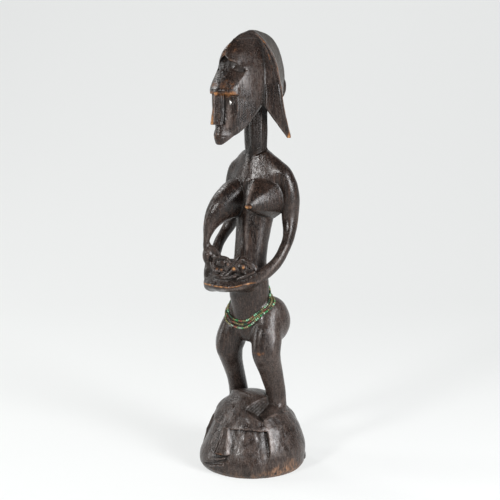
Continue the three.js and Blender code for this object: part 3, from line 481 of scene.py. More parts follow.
def child(F):
    # head: smooth face outward, coiffure running back to a ridge
    blob(F, (-32.4, -45.2, 279.5), (7.9, 8.4, 13.6), 2.0)
    sweep(F, [(-34.0, -48.0, 297.5, 3.6, 3.6), (-33.6, -47.2, 291.5, 5.0, 4.8), (-30, -45.4, 288.2, 4.0, 5.4), (-23.6, -43, 283.8, 3.2, 4.8), (-16.6, -40.8, 277.6, 2.2, 3.6)], 1.2, side=(0.6, 0.75, 0), N=4, n=2.6)
    blob(F, (-25.4, -41, 275.5), (8.6, 7.4, 8.6), 2)
    # trunk and hips, one mass on the tray
    sweep(F, [(-27, -42, 267, 8, 9), (-15, -43, 266.5, 8.2, 10), (0, -41, 266.5, 9.6, 11.6), (12, -38, 266, 10, 13), (22, -35, 265.5, 9, 12), (30, -32, 264, 6, 9.5)], 2.5, side=(0, 1, 0), N=4)
    blob(F, (-8, -46.4, 272.4), (13.2, 6.2, 8.4), 1.0)
    # near arm: an oval ring round a smooth lens
    ring = [(-20.0, -49.4, 272.0), (-16.6, -50.4, 278.2), (-8.8, -49.2, 280.2), (0.8, -47.6, 279.0), (4.2, -48.0, 273.6), (1.0, -51.4, 267.6), (-7.6, -53.4, 264.8), (-15.6, -52.4, 266.8), (-20.0, -49.4, 272.0)]
    sweep(F, [r + (2.1, 2.1) for r in ring], 0.6, side=(0, 1, 0), N=6)
    inner = [(-8 + (a + 8) * 0.70, b - 1.6, 272.4 + (c - 272.4) * 0.60) for a, b, c in ring]
    sweep(F, [r + (1.1, 0.9) for r in inner], 0.5, side=(0, 1, 0), N=6, cut=True)
    sweep(F, [(-24, -49.4, 271, 2.6, 2.6), (-20.6, -51.6, 267.4, 2.4, 2.4), (-15, -54.4, 264, 2.4, 2.2), (-8, -55.6, 262.4, 2.4, 2.2), (-1.6, -54, 263.6, 2.1, 2.0)], 0.7, side=(0, 1, 0), N=5)
    # crossed legs: two bands on the diagonal
    b1 = [(11.6, -38.6, 281.6, 2.5, 2.5), (8.2, -44.6, 274.8, 2.5, 2.5), (4.6, -51.0, 266.8, 2.4, 2.5), (1.0, -55.6, 260.6, 2.3, 2.4), (-6.6, -58.0, 257.0, 2.2, 2.2), (-13, -57.4, 256.4, 1.8, 1.8)]
    b2 = [(17.6, -37.6, 280.4, 2.6, 2.6), (14.6, -43.6, 274.2, 2.5, 2.5), (11.2, -49.6, 266.6, 2.3, 2.4), (7.4, -54.4, 260.8, 2.1, 2.2), (3.4, -57.2, 257.4, 1.8, 1.9)]
    for b in (b1, b2): sweep(F, b, 0.5, side=(0, 1, 0), N=5)
    sweep(F, [(13.6, -40.8, 281, 0.5, 1.0), (11.2, -47.0, 274.4, 0.5, 1.1), (7.6, -53.0, 266.4, 0.5, 1.1), (4.0, -57.4, 260.4, 0.5, 0.9)], 0.4, side=(0.77, 0.64, 0), N=5, cut=True)
    blob(F, (13.0, -49.4, 266.8), (3.4, 3.2, 3.6), 0.6)
    blob(F, (23.6, -43.6, 270.2), (3.5, 3.4, 4.6), 0.7)
    blob(F, (18.4, -47.2, 267.8), (1.3, 2.6, 2.6), 0.5, cut=True)
    sweep(F, [(20.4, -38.2, 278.4, 3.6, 3.4), (25.4, -36.2, 275.4, 3.6, 3.6), (29.6, -33.6, 272.6, 3.2, 3.4), (33.0, -31.4, 267.6, 2.8, 3.2)], 0.8, side=(0, 1, 0), N=4)
    sweep(F, [(22.6, -43.2, 265, 3.0, 3.2), (27.4, -41.2, 262.6, 3.2, 3.0), (32.2, -38.0, 261.8, 3.2, 3.0), (36.6, -33.4, 263.4, 2.6, 2.8)], 0.8, side=(0, 1, 0), N=4)
    blob(F, (28.6, -37.6, 268.6), (2.0, 2.6, 1.9), 0.6, cut=True)
    # lower legs and feet along the front of the tray
    sweep(F, [(-9.0, -58.6, 258.6, 2.2, 2.2), (0.8, -58.4, 256.2, 2.5, 2.4), (10, -56.0, 257.2, 2.5, 2.3), (17.6, -52.8, 259.6, 2.2, 2.1)], 0.6, side=(0, 1, 0), N=5)
    sweep(F, [(20.6, -50.6, 256.4, 2.3, 2.2), (26.4, -47.8, 258.6, 2.6, 2.4), (31.6, -43.8, 262.0, 2.4, 2.3), (36.6, -38.6, 265.0, 2.0, 2.0)], 0.6, side=(0, 1, 0), N=5)
    blob(F, (16.6, -53.6, 256.2), (4.4, 1.7, 1.2), 0.4, cut=True)
    # knife nicks that break up the modelling
    for (u, v, w), (r, t, q) in (((-29.5, -53.0, 284), (0.4, 1.2, 2.6)), ((-26.4, -49.6, 276.6), (2.2, 1.8, 3.4)), ((-22.4, -48.4, 283.0), (2.8, 0.8, 0.7)), ((-19.0, -46.6, 279.8), (2.4, 0.8, 0.6)), ((-3, -54.6, 269.8), (1.2, 0.9, 0.5)),
                                 ((8.6, -50.6, 271), (0.6, 0.9, 2.0)), ((22, -41.8, 275.2), (2.2, 0.8, 0.6)), ((27.4, -44.4, 265.2), (2.4, 0.8, 0.6)), ((33.6, -35.6, 265.6), (1.8, 0.9, 0.6)), ((-12, -57.8, 260.4), (3.4, 0.8, 0.6))):
        blob(F, (u, v, w), (r, t, q), 0.4, cut=True)

# level sections: z, then half-outline points from the front midline to the back midline
FACE = [
    [419, [0, -60.6], [4.6, -59.4], [8, -56.6], [13, -50], [20, -37], [25.5, -15], [22, 12], [0, 24]],
    [424.6, [0, -64.6], [4.8, -63.0], [8.2, -58.6], [13, -51.6], [20.4, -39], [26, -15], [22, 12], [0, 26]],
    [430, [0, -66.9], [5.2, -64.8], [8.6, -59.8], [13, -52], [20.8, -40.4], [27, -15.4], [23, 14], [0, 28]],
    [434, [0, -67.4], [5.6, -65.2], [9.0, -60.2], [13, -52.4], [21, -41.4], [27.6, -15.6], [23, 15], [0, 30]],
    [438, [0, -66.4], [5.4, -64.2], [8.8, -59.4], [13, -53], [21, -42], [28, -15.8], [23, 16], [0, 32]],
    [442, [0, -65.2], [5, -62.8], [8.4, -58.2], [13.2, -53.4], [21, -42.8], [28.4, -15.8], [23, 16], [0, 34]],
    [448, [0, -63.6], [5, -61.0], [9.4, -57.4], [15.0, -52.9], [21, -44.0], [28.9, -15.4], [24, 17], [0, 40]],
    [456, [0, -60.6], [5.4, -58.6], [11.4, -55.8], [18.2, -51.6], [21.4, -45], [29.5, -14.4], [25.4, 18], [0, 46]],
    [464, [0, -58.4], [6, -57.4], [13, -54.8], [20.2, -50.6], [22.0, -45.8], [30, -13.4], [26.6, 19], [0, 52]],
    [475, [0, -57.6], [6, -57], [13, -55.0], [20.7, -51.0], [22.2, -46], [30.6, -12.6], [27, 19.4], [0, 60]],
    [489, [0, -57.4], [6, -56.8], [13, -55.0], [20.8, -51.0], [22.3, -46], [31, -12], [28, 20], [0, 62]],
]
# the ridge of the helmet carries a narrow band, so it has two points
HELM = [
    [482, [0, -67.2], [9, -64.8], [16.4, -59.2], [21.3, -52.2], [22.6, -46], [31, -12], [32.0, 20.0], [30.2, 24.2], [0, 62.6]],
    [488, [0, -67.4], [9, -65.0], [16.5, -59.4], [21.4, -52.3], [22.7, -46], [31, -12], [32.0, 20.8], [30.0, 25.2], [0, 64.0]],
    [493, [0, -63.4], [9, -61.6], [16.4, -57.6], [21.2, -51.4], [23.0, -44.8], [30.9, -11.6], [31.0, 20.8], [28.8, 25.2], [0, 65.2]],
    [500, [0, -58.2], [8.8, -57.2], [15.9, -53.6], [20.8, -48.0], [23.2, -42.2], [30.5, -11], [29.6, 21.4], [27.2, 25.8], [0, 65.6]],
    [508, [0, -52.6], [8.4, -52.0], [15.0, -48.4], [20.4, -41.8], [23.4, -37.0], [29.8, -10], [27.6, 22.0], [25.0, 26.6], [0, 64.8]],
    [515, [0, -48.6], [8.0, -48.2], [14.0, -45.4], [19.6, -38.6], [23.0, -33.4], [28.6, -8.8], [25.8, 22.2], [23.0, 26.8], [0, 63.0]],
    [523, [0, -45.8], [7.4, -45.4], [13.0, -43.0], [17.8, -36.6], [20.8, -30.6], [26.6, -7.4], [23.2, 21.4], [20.4, 25.8], [0, 60.2]],
    [532, [0, -44.0], [5.6, -42.4], [11.0, -37.6], [15.6, -31.2], [18.4, -26.2], [23.6, -5.4], [20.2, 18.8], [17.6, 22.8], [0, 55.8]],
    [540, [0, -41.4], [4.6, -37.6], [9, -32.0], [13, -25.8], [15.8, -19.4], [19.8, -3], [17.0, 15.4], [14.6, 19.0], [0, 50.4]],
    [547, [0, -36.0], [3.9, -29.4], [7.6, -24.0], [11, -17.8], [13.2, -12], [15.6, -1.4], [13.8, 11.2], [11.8, 14.4], [0, 43.6]],
    [552, [0, -28.6], [3.2, -21.6], [6, -16.6], [8.4, -11.4], [10, -6.8], [11.8, 0.2], [10.8, 7.8], [9.2, 10.6], [0, 36]],
    [556, [0, -19.0], [2.2, -13.4], [4.0, -9.8], [5.6, -6.2], [6.6, -3.4], [7.6, 0], [7.2, 4.4], [6.0, 6.6], [0, 26]],
    [558.6, [0, -9.0], [1.2, -7.2], [2.2, -5], [3.0, -3], [3.5, -1.2], [4.0, 0.4], [3.8, 2.6], [3.0, 4.2], [0, 15]],
    [560.4, [0, -3.4], [0.4, -3.0], [0.8, -2.4], [1.1, -1.6], [1.3, -0.8], [1.4, 0], [1.2, 1.2], [0.8, 2.0], [0, 6.5]],
]
for _r in HELM:                       # the ridge lies well forward on the upper part
    _w = float(sstep(480, 498, np.array(_r[0]))) * float(sstep(561, 552, np.array(_r[0])))
    for _i in (7, 8): _r[_i] = [_r[_i][0] + 0.6 * _w, _r[_i][1] - 3.0 * _w]
    _r[9] = [0, _r[9][1] + 1.0]
HAIR = [   # the coiffure over the forehead
    [508, [0, -59], [6.6, -55.4], [12.2, -50.0], [17.4, -43.2], [22.3, -37.6], [29, -10], [20, 0], [0, 8]],
    [515, [0, -57.6], [6.8, -53.8], [12.8, -48.4], [18.0, -42.2], [22.6, -35.8], [28.4, -9], [20, 0], [0, 8]],
    [522, [0, -56.4], [6.7, -52.2], [12.6, -46.4], [17.6, -39.4], [21.2, -32.2], [26.8, -8], [20, 0], [0, 8]],
    [529, [0, -54.6], [6.4, -50.0], [12.0, -44.0], [16.6, -36.8], [19.6, -30.0], [24.6, -6], [18, 0], [0, 8]],
    [534, [0, -52.0], [6.0, -47.6], [11.2, -41.6], [15.6, -34.6], [18.2, -28.0], [22.8, -5], [16, 0], [0, 8]],
    [540, [0, -46.0], [5.2, -41.8], [9.8, -35.8], [13.8, -29.0], [16.6, -22.0], [20.1, -3], [14, 0], [0, 8]],
    [548, [0, -35.2], [4.0, -31.2], [7.4, -25.4], [10.4, -19.0], [12.4, -13], [14.0, -2], [9, 0], [0, 8]],
]

def head(F):
    jaw = [(-110, 379), (-60, 423.6), (-36, 444.8), (-10, 468.4), (3, 473), (34, 471.5), (56, 472), (64, 476), (100, 480), (100, 380), (-110, 340)]
    def under_jaw(d, x, y, z):
        return smax(d, -(poly_sdf(y[0], z[0], jaw)[None, :, :] + 0 * x), 0.8)
    # face block below the visor
    sl, (x, y, z), d = sections(F, FACE, 414, 488, N=3, corner=[3, 7])
    d = np.maximum(unit_grad(d, F.h), z - 485.8)
    F.D[sl] = smin(F.D[sl], under_jaw(d, x, y, z).astype(F4), 1.2)
    # helmet with visor, ridged sides and flat back
    sl, (x, y, z), d = sections(F, HELM, 480, 563, N=3, corner=[6, 7, 8])
    low = 484.2 - 0.0035 * x * x - 30 * sstep(-50.5, -44, y)
    d = np.maximum(unit_grad(d, F.h), low - z)
    d = smax(d, z - 560.0, 1.0)
    F.D[sl] = smin(F.D[sl], under_jaw(d, x, y, z).astype(F4), 0.5)
    # temples swell a little; the forehead is hollowed under the hairline
    for k in (1, -1):
        F.shift(lambda x, y, z: -1.5 * np.exp(-((x * k - 27) ** 2 + (y + 33) ** 2) / 190 - (z - 498) ** 2 / 620), [k * 24 - 18, -64, 455], [k * 24 + 18, -4, 540])
        sweep(F, [(k * 4.6, -51.6, 519.4, 0.4, 1.2), (k * 8.6, -50.4, 517.0, 1.1, 2.6), (k * 13.6, -47.2, 514.2, 1.7, 3.2), (k * 18.4, -41.9, 511.6, 1.5, 2.6), (k * 22.8, -35.4, 510.4, 0.4, 1.4)], 1.6, side=(k * 0.5, -0.86, 0), N=5, cut=True)
    # coiffure with its keel cut to a narrow facet in front
    sl, (x, y, z), d = sections(F, HAIR, 508, 552, N=3, corner=[0, 6])
    ax = np.abs(x)
    line = 529.6 - 0.70 * ax + 0.25 * np.sin(ax * 0.6)
    d = np.maximum(unit_grad(d, F.h), (line - z) * 0.82)
    d = smax(d, z - 550, 3)
    d = smax(d, -(y + 51.6) * 0.86 + (z - 529) * 0.50, 0.6)
    F.D[sl] = smin(F.D[sl], d.astype(F4), 0.6)
    # back of the helmet below the visor level
    sl, (x, y, z), d = sections(F, [[460] + BACKS[0], [475] + BACKS[1], [488] + BACKS[2]], 464, 490, N=2, corner=[0, 3, 4, 5])
    d = np.maximum(unit_grad(d, F.h), z - 487)
    F.D[sl] = smin(F.D[sl], under_jaw(d, x, y, z).astype(F4), 0.6)
    # crest knob low on the back
    sweep(F, [(0, 55.0, 494.5, 5.0, 8.4), (0, 56.8, 491, 5.8, 8.2), (0, 57.6, 484, 5.4, 7.2), (0, 56.4, 477.5, 4, 4.8)], 0.6, N=4, n=3.4)
    for k in (1, -1):
        # lappet blade
        sl, x, y, z = F.window([14 if k > 0 else -44, -20, 420], [44 if k > 0 else -14, 48, 500])
        T = np.array(BLADE)[::-1]
        yf, yb, xo, th = [np.interp(z.ravel(), T[:, 0], T[:, c]).astype(F4)[None, None, :] for c in range(1, 5)]
        u = (y - yf) / np.maximum(yb - yf, 0.5)
        xs = xo + 0.7 * (u - 1)                      # outer plane leans out toward the ridge
        xin = xo - th * (0.55 + 0.45 * np.clip(u, 0, 1))
        ax = x * k
        d = np.maximum(ax - xs, (xin - ax))
        e = smax((yf - y) * 0.82, (y - yb) * 0.9, 0.5)
        d = smax(d, e, 1.0)
        d = smax(d, (y - yb) * 0.62 + (ax - xs) * 0.78 + 0.5, 0.5)     # band along the ridge
        d = smax(d, 425.6 - z, 1.0)
        d = smax(d, z - 494, 1.0)
        F.D[sl] = smin(F.D[sl], d.astype(F4), 0.6)
        # deep groove in front of the blade, running up the helmet
        sweep(F, [(k * 31.6, -10.8, 462, 1.8, 1.4), (k * 31.8, -12.0, 474, 2.2, 1.6), (k * 31.9, -12.0, 486, 2.1, 1.5), (k * 31.2, -11.4, 497, 1.6, 1.3), (k * 29.7, -10.2, 511, 1.1, 1.0), (k * 26.8, -8.0, 524, 0.8, 1.0), (k * 22.0, -5.0, 537, 0.4, 0.8)], 0.6, side=(1, 0, 0), N=4, cut=True)
        # valley beside the ridge, carried down the blade
        sweep(F, [(k * 9.9, 0.0, 556, 0.3, 0.9), (k * 15.2, 2.8, 548, 0.8, 1.8), (k * 20.6, 6.6, 538, 1.1, 2.2), (k * 26.4, 10.2, 523, 1.2, 2.4), (k * 30.6, 11.0, 504, 1.1, 2.2), (k * 33.0, 13.2, 486, 1.0, 2.1), (k * 33.2, 16.2, 470, 1.0, 2.1), (k * 33.3, 21.6, 454, 0.9, 1.9), (k * 33.3, 29.2, 438, 0.6, 1.2), (k * 33.3, 32.6, 431, 0.3, 0.6)], 0.9, side=(1, 0, 0), N=4, cut=True)
        # lower edge of the helmet side, bevelled back to the jaw
        A, B, C = (k * 24.0, -43.5, 439.5), (k * 30.7, -13.0, 475.0), (k * 25.6, -9.6, 467.4)
        n, a_ = tri_plane(A, B, C, (0, -20, 500))
        sl, x, y, z = F.window([18 if k > 0 else -36, -46, 434], [36 if k > 0 else -18, -10.5, 478])
        v = ((x - F4(a_[0])) * F4(n[0]) + (y - F4(a_[1])) * F4(n[1]) + (z - F4(a_[2])) * F4(n[2])) / F4(np.linalg.norm(n))
        F.D[sl] = smax(F.D[sl], np.minimum(v, (-11.5 - y)).astype(F4), 0.4)
    # nose slab
    ins = (0, -55, 460)
    F.add(planes([tri_plane((-0.5, -70.2, 486), (0.5, -70.2, 486), (0, -74.6, 446), ins), tri_plane((0.55, -70.2, 486), (2.7, -74.6, 446), (4.7, -50, 446), ins), tri_plane((-0.55, -70.2, 486), (-2.7, -74.6, 446), (-4.7, -50, 446), ins),
                  ((0, -0.06, -1), (0, -60, 446.3)), ((0, 0, 1), (0, 0, 486.2)), ((0, 1, 0), (0, -46, 0))]), [-9, -78, 441], [9, -44, 490], 0.2)
    for k in (1, -1):
        blob(F, (k * 3.7, -68.2, 452.6), (1.8, 0.8, 0.85), 0.2, cut=True)      # nostrils
        sweep(F, [(k * 4.9, -56.9, 484, 1.1, 2.0), (k * 5.3, -57.4, 465, 1.2, 2.2), (k * 6.1, -59.0, 448, 1.1, 2.0)], 0.4, N=4, cut=True)   # groove by the nose
    # mouth, hardly more than a nick
    sweep(F, [(-8.8, -60.0, 432.2, 0.4, 0.45), (-5.4, -65.4, 431.8, 0.6, 0.5), (0, -67.9, 431.7, 0.7, 0.5), (5.4, -65.4, 431.8, 0.6, 0.5), (8.8, -60.0, 432.2, 0.4, 0.45)], 0.8, side=(0, 1, 0), N=5, cut=True)
    # eye sockets for the inlays
    for k in (1, -1):
        sl, x, y, z = F.window([k * 13 - 4, -60, 468], [k * 13 + 4, -48, 479])
        d = np.maximum((np.abs(x - k * 13) / 2.15 + np.abs(z - 473.5) / 2.95 - 1) * 1.7, y + 52.9)
        F.D[sl] = np.maximum(F.D[sl], -np.maximum(d, -60 - y).astype(F4))

BACKS = [[[0, 14], [14, 0], [27, -4], [27.6, 18], [25.6, 22], [0, 59]], [[0, 14], [14, 0], [28.6, -6], [29.6, 19.6], [27.6, 23.6], [0, 61.6]], [[0, 14], [14, 0], [29.6, -8], [31.8, 20.6], [29.8, 25.0], [0, 63.8]]]
# lappet blade: z, front edge y, rear ridge y, outer x at the ridge, thickness
BLADE = [(500, -12.8, 18.6, 31.4, 9), (486, -13.0, 20.4, 33.2, 9), (474, -12.6, 22.6, 33.3, 8.4), (466, -9.4, 24.8, 33.3, 8), (456, 0.6, 27.8, 33.3, 7.2), (446, 11.4, 31.4, 33.3, 6.2), (436, 21.8, 35.4, 33.3, 5), (430, 28.0, 38.2, 33.3, 4.2), (426, 31.4, 38.8, 33.3, 3.4), (420, 33.4, 39.2, 33.3, 3)]

def build(h=0.75, verbose=True):
    t0 = time.time()
    F = Field([-76, -82, -1.5], [76, 76, 563], h)
    for f in (base, legs, body, breasts, tray, child, head):
        f(F)
        if verbose: print(f.__name__, round(time.time() - t0, 1), flush=True)
    # cut flat underneath
    z = F.lo[2] + np.arange(F.n[2]) * h
    F.D = np.maximum(F.D, (-z).astype(F4)[None, None, :])
    return F

# ------------------------------------------------------------------ scene
import bpy
from mathutils import Vector, Matrix

MM = 0.001

def new_object(name, V, faces, smooth=True):
    me = bpy.data.meshes.new(name)
    F_ = np.asarray(faces, np.int32); n = F_.shape[1]
    me.vertices.add(len(V)); me.vertices.foreach_set("co", (np.asarray(V, np.float32) * MM).ravel())
    me.loops.add(F_.size); me.loops.foreach_set("vertex_index", F_.ravel())
    me.polygons.add(len(F_)); me.polygons.foreach_set("loop_start", np.arange(len(F_), dtype=np.int32) * n)
    me.polygons.foreach_set("loop_total", np.full(len(F_), n, np.int32))
    me.update(calc_edges=True)
    me.polygons.foreach_set("use_smooth", np.full(len(F_), smooth))
    ob = bpy.data.objects.new(name, me); bpy.context.scene.collection.objects.link(ob)
    return ob

def decimated(ob, tris, faces):
    m = ob.modifiers.new("d", "DECIMATE"); m.ratio = min(1.0, tris / faces); m.use_collapse_triangulate = True
    dg = bpy.context.evaluated_depsgraph_get()
    me = bpy.data.meshes.new_from_object(ob.evaluated_get(dg), depsgraph=dg)
    old = ob.data; ob.modifiers.clear(); ob.data = me; bpy.data.meshes.remove(old); me.name = ob.name
    return ob

def color_attr(me, name, rgb):
    a = me.color_attributes.new(name, "FLOAT_COLOR", "POINT")
    c = np.ones((len(me.vertices), 4), np.float32); c[:, :3] = rgb
    a.data.foreach_set("color", c.ravel())

def coords(me):
    c = np.empty(len(me.vertices) * 3, np.float32); me.vertices.foreach_get("co", c); return c.reshape(-1, 3) / MM

# ------------------------------------------------------------------ node helpers
class Mat:
    def __init__(s, name):
        s.m = bpy.data.materials.new(name); s.m.use_nodes = True; s.t = s.m.node_tree; s.t.nodes.clear()
        s.out = s.t.nodes.new("ShaderNodeOutputMaterial"); s.b = s.t.nodes.new("ShaderNodeBsdfPrincipled")
        s.t.links.new(s.b.outputs[0], s.out.inputs[0])
    def n(s, kind, **kw):
        nd = s.t.nodes.new("ShaderNode" + kind)
        for k, v in kw.items():
            if k.startswith("i_"):
                key = k[2:]; key = int(key) if key.isdigit() else key.replace("_", " ")
                s.set(nd.inputs[key], v)
            else: setattr(nd, k, v)
        return nd
    def set(s, sock, v):
        if isinstance(v, bpy.types.NodeSocket): s.t.links.new(v, sock)
        else: sock.default_value = v
    def math(s, op, a, b=0.0, c=None, clamp=False):
        nd = s.t.nodes.new("ShaderNodeMath"); nd.operation = op; nd.use_clamp = clamp
        s.set(nd.inputs[0], a); s.set(nd.inputs[1], b)
        if c is not None: s.set(nd.inputs[2], c)
        return nd.outputs[0]
    def mix(s, f, a, b, blend="MIX"):
        nd = s.t.nodes.new("ShaderNodeMix"); nd.data_type = "RGBA"; nd.blend_type = blend; nd.clamp_factor = True
        s.set(nd.inputs[0], f); s.set(nd.inputs[6], a); s.set(nd.inputs[7], b)
        return nd.outputs[2]
    def ramp(s, f, stops):
        nd = s.t.nodes.new("ShaderNodeValToRGB"); cr = nd.color_ramp
        while len(cr.elements) < len(stops): cr.elements.new(0.5)
        for e, (p, c) in zip(cr.elements, stops): e.position = p; e.color = (*c, 1) if len(c) == 3 else c
        s.set(nd.inputs[0], f); return nd.outputs[0]
    def maprange(s, v, a, b, c=0.0, d=1.0):
        nd = s.t.nodes.new("ShaderNodeMapRange"); s.set(nd.inputs[0], v)
        for i, q in zip((1, 2, 3, 4), (a, b, c, d)): nd.inputs[i].default_value = q
        return nd.outputs[0]
    def scaled(s, vec, sx, sy, sz, rot=(0, 0, 0)):
        nd = s.t.nodes.new("ShaderNodeMapping"); s.set(nd.inputs[0], vec)
        nd.inputs["Scale"].default_value = (sx, sy, sz); nd.inputs["Rotation"].default_value = rot
        return nd.outputs[0]
    def noise(s, vec, scale, detail=4.0, rough=0.55, dist=0.0):
        nd = s.t.nodes.new("ShaderNodeTexNoise"); s.set(nd.inputs["Vector"], vec)
        nd.inputs["Scale"].default_value = scale; nd.inputs["Detail"].default_value = detail; nd.inputs["Roughness"].default_value = rough; nd.inputs["Distortion"].default_value = dist
        return nd.outputs[0]
    def voronoi(s, vec, scale, feature="F1", out=0, rand=1.0):
        nd = s.t.nodes.new("ShaderNodeTexVoronoi"); nd.feature = feature; s.set(nd.inputs["Vector"], vec)
        nd.inputs["Scale"].default_value = scale; nd.inputs["Randomness"].default_value = rand
        return nd.outputs[out]
    def attr(s, name):
        nd = s.t.nodes.new("ShaderNodeAttribute"); nd.attribute_name = name
        sp = s.t.nodes.new("ShaderNodeSeparateColor"); s.t.links.new(nd.outputs["Color"], sp.inputs[0])
        return nd.outputs["Color"], sp.outputs[0], sp.outputs[1], sp.outputs[2]
    def bump(s, height, strength, dist, normal=None):
        nd = s.t.nodes.new("ShaderNodeBump"); nd.inputs["Strength"].default_value = strength; nd.inputs["Distance"].default_value = dist
        s.set(nd.inputs["Height"], height)
        if normal is not None: s.set(nd.inputs["Normal"], normal)
        return nd.outputs[0]

def wood_material():
    M = Mat("carved_wood"); b = M.b
    P = M.n("TexCoord").outputs["Object"]
    _, wear, shade_mask, raw = M.attr("mask")
    _, olive, hatch, tone_and_highlight = M.attr("mask2")
    # broad tone of the patina, with fine grain drawn along the height
    broad = M.noise(P, 24.0, 4.0, 0.6)
    grain = M.noise(M.scaled(P, 950, 950, 95), 1.0, 4.0, 0.60, 0.3)
    streak = M.noise(M.scaled(P, 330, 330, 38), 1.0, 4.0, 0.62, 0.4)
    fine = M.noise(P, 520.0, 3.0, 0.6)
    mottled = M.noise(P, 150.0, 5.0, 0.66, 0.5)
    scr = M.noise(M.scaled(P, 240, 1300, 700, (0.5, 0.3, 0.6)), 1.0, 2.0, 0.5)
    dark = M.mix(M.maprange(broad, 0.36, 0.66), (0.0046, 0.0031, 0.0027, 1), (0.0125, 0.0078, 0.0060, 1))
    dark = M.mix(M.maprange(streak, 0.50, 0.74, 0.0, 0.80), dark, (0.042, 0.0235, 0.0165, 1))
    dark = M.mix(M.maprange(grain, 0.54, 0.72, 0.0, 0.80), dark, (0.054, 0.0365, 0.028, 1))
    dark = M.mix(M.maprange(mottled, 0.58, 0.74, 0.0, 0.5), dark, (0.058, 0.034, 0.021, 1))
    dark = M.mix(M.maprange(fine, 0.63, 0.74, 0.0, 0.65), dark, (0.098, 0.077, 0.063, 1))
    dark = M.mix(M.maprange(fine, 0.40, 0.30, 0.0, 0.85), dark, (0.0045, 0.0035, 0.0030, 1))
    # the tone mask lightens the patina: random tone, dust and scratches, and painted highlights
    tw = M.math("MULTIPLY", tone_and_highlight, M.maprange(M.math("ADD", grain, M.math("MULTIPLY", fine, 0.6)), 0.62, 0.95, 0.35, 1.0))
    lift = M.mix(tw, dark, (0.165, 0.130, 0.114, 1))
    # painted shade: cuts and hollows darkened toward black by the occlusion mask, which also carries the shadow places
    # set in masks()
    col = M.mix(M.math("MULTIPLY", shade_mask, M.maprange(grain, 0.42, 0.66, 0.92, 0.55)), lift, (0.0045, 0.0034, 0.0026, 1))
    st = M.math("SINE", M.math("MULTIPLY", M.math("ADD", M.n("SeparateXYZ", i_0=M.scaled(P, 1, 1, 1, (0.75, 0, 0))).outputs[2], M.math("MULTIPLY", mottled, 0.0016)), 2600.0))
    col = M.mix(M.math("MULTIPLY", olive, M.math("MULTIPLY", M.maprange(grain, 0.38, 0.62, 0.25, 0.95), M.maprange(st, -0.6, 0.6, 0.25, 1.0))), col, (0.050, 0.046, 0.033, 1))
    # bare brown wood near the foot of the base
    rawn = M.math("MULTIPLY", M.math("MULTIPLY", raw, 1.5), M.maprange(M.math("ADD", M.math("MULTIPLY", M.noise(M.scaled(P, 190, 190, 120), 1.0, 5.0, 0.65, 0.6), 0.7), M.math("MULTIPLY", grain, 0.3)), 0.42, 0.60), clamp=True)
    rawc = M.mix(M.maprange(M.noise(M.scaled(P, 800, 800, 120), 1.0, 4.0, 0.6), 0.36, 0.64), (0.046, 0.026, 0.017, 1), (0.25, 0.140, 0.082, 1))
    col = M.mix(rawn, col, rawc)
    # edges rubbed back to orange-brown
    w0 = M.math("ADD", M.math("MULTIPLY", wear, 1.15), M.math("ADD", M.maprange(mottled, 0.3, 0.7, -0.30, 0.22), M.maprange(fine, 0.3, 0.7, -0.22, 0.16)))
    wf = M.math("MULTIPLY", M.maprange(w0, 0.22, 0.80), M.maprange(wear, 0.03, 0.22), clamp=True)
    wearc = M.ramp(w0, [(0.0, (0.034, 0.0165, 0.009)), (0.5, (0.086, 0.033, 0.011)), (0.85, (0.185, 0.076, 0.021)), (1.0, (0.31, 0.160, 0.055))])
    col = M.mix(wf, col, wearc)
    # knife-cut hatching
    cross = M.math("MAXIMUM", M.maprange(M.math("SINE", M.math("MULTIPLY", M.n("SeparateXYZ", i_0=M.scaled(P, 1, 1, 1, (0.35, 0.72, 0))).outputs[0], 2150.0)), 0.45, 0.95),
                   M.maprange(M.math("SINE", M.math("MULTIPLY", M.n("SeparateXYZ", i_0=M.scaled(P, 1, 1, 1, (-0.35, -0.72, 0))).outputs[0], 2150.0)), 0.45, 0.95))
    hz = M.math("MULTIPLY", cross, hatch)
    col = M.mix(M.math("MULTIPLY", hz, 0.75), col, M.mix(shade_mask, (0.0035, 0.0028, 0.0024, 1), (0.034, 0.028, 0.022, 1)))
    M.set(b.inputs["Base Color"], col)
    rough = M.math("ADD", M.maprange(mottled, 0.34, 0.68, 0.17, 0.33), M.maprange(fine, 0.35, 0.65, -0.05, 0.09))
    rough = M.math("ADD", rough, M.maprange(grain, 0.4, 0.6, -0.03, 0.06))
    rough = M.math("ADD", rough, M.math("ADD", M.math("MULTIPLY", shade_mask, 0.05), M.maprange(shade_mask, 0.86, 1.0, 0.0, 0.32)))
    rough = M.math("ADD", rough, M.math("MULTIPLY", wf, 0.20))
    rough = M.math("ADD", rough, M.math("MULTIPLY", rawn, 0.30))
    rough = M.math("ADD", rough, M.math("MULTIPLY", olive, 0.22), clamp=True)
    M.set(b.inputs["Roughness"], rough)
    b.inputs["Specular IOR Level"].default_value = 0.30
    b.inputs["Coat Weight"].default_value = 0.0
    # relief: tool facets, grain, scratches, striations at the back of the coiffure
    cells = M.voronoi(M.scaled(P, 1, 1, 0.55), 170.0, "SMOOTH_F1")
    h = M.math("MULTIPLY", cells, 0.40)
    h = M.math("ADD", h, M.math("MULTIPLY", streak, 0.60))
    h = M.math("ADD", h, M.math("MULTIPLY", grain, 0.26))
    h = M.math("ADD", h, M.math("MULTIPLY", fine, 0.17))
    h = M.math("ADD", h, M.math("MULTIPLY", M.maprange(scr, 0.56, 0.70), 0.22))
    h = M.math("ADD", h, M.math("MULTIPLY", M.math("MULTIPLY", st, olive), 0.30))
    h = M.math("SUBTRACT", h, M.math("MULTIPLY", hz, 0.9))
    M.set(b.inputs["Normal"], M.bump(h, 0.55, 0.0007))
    return M.m

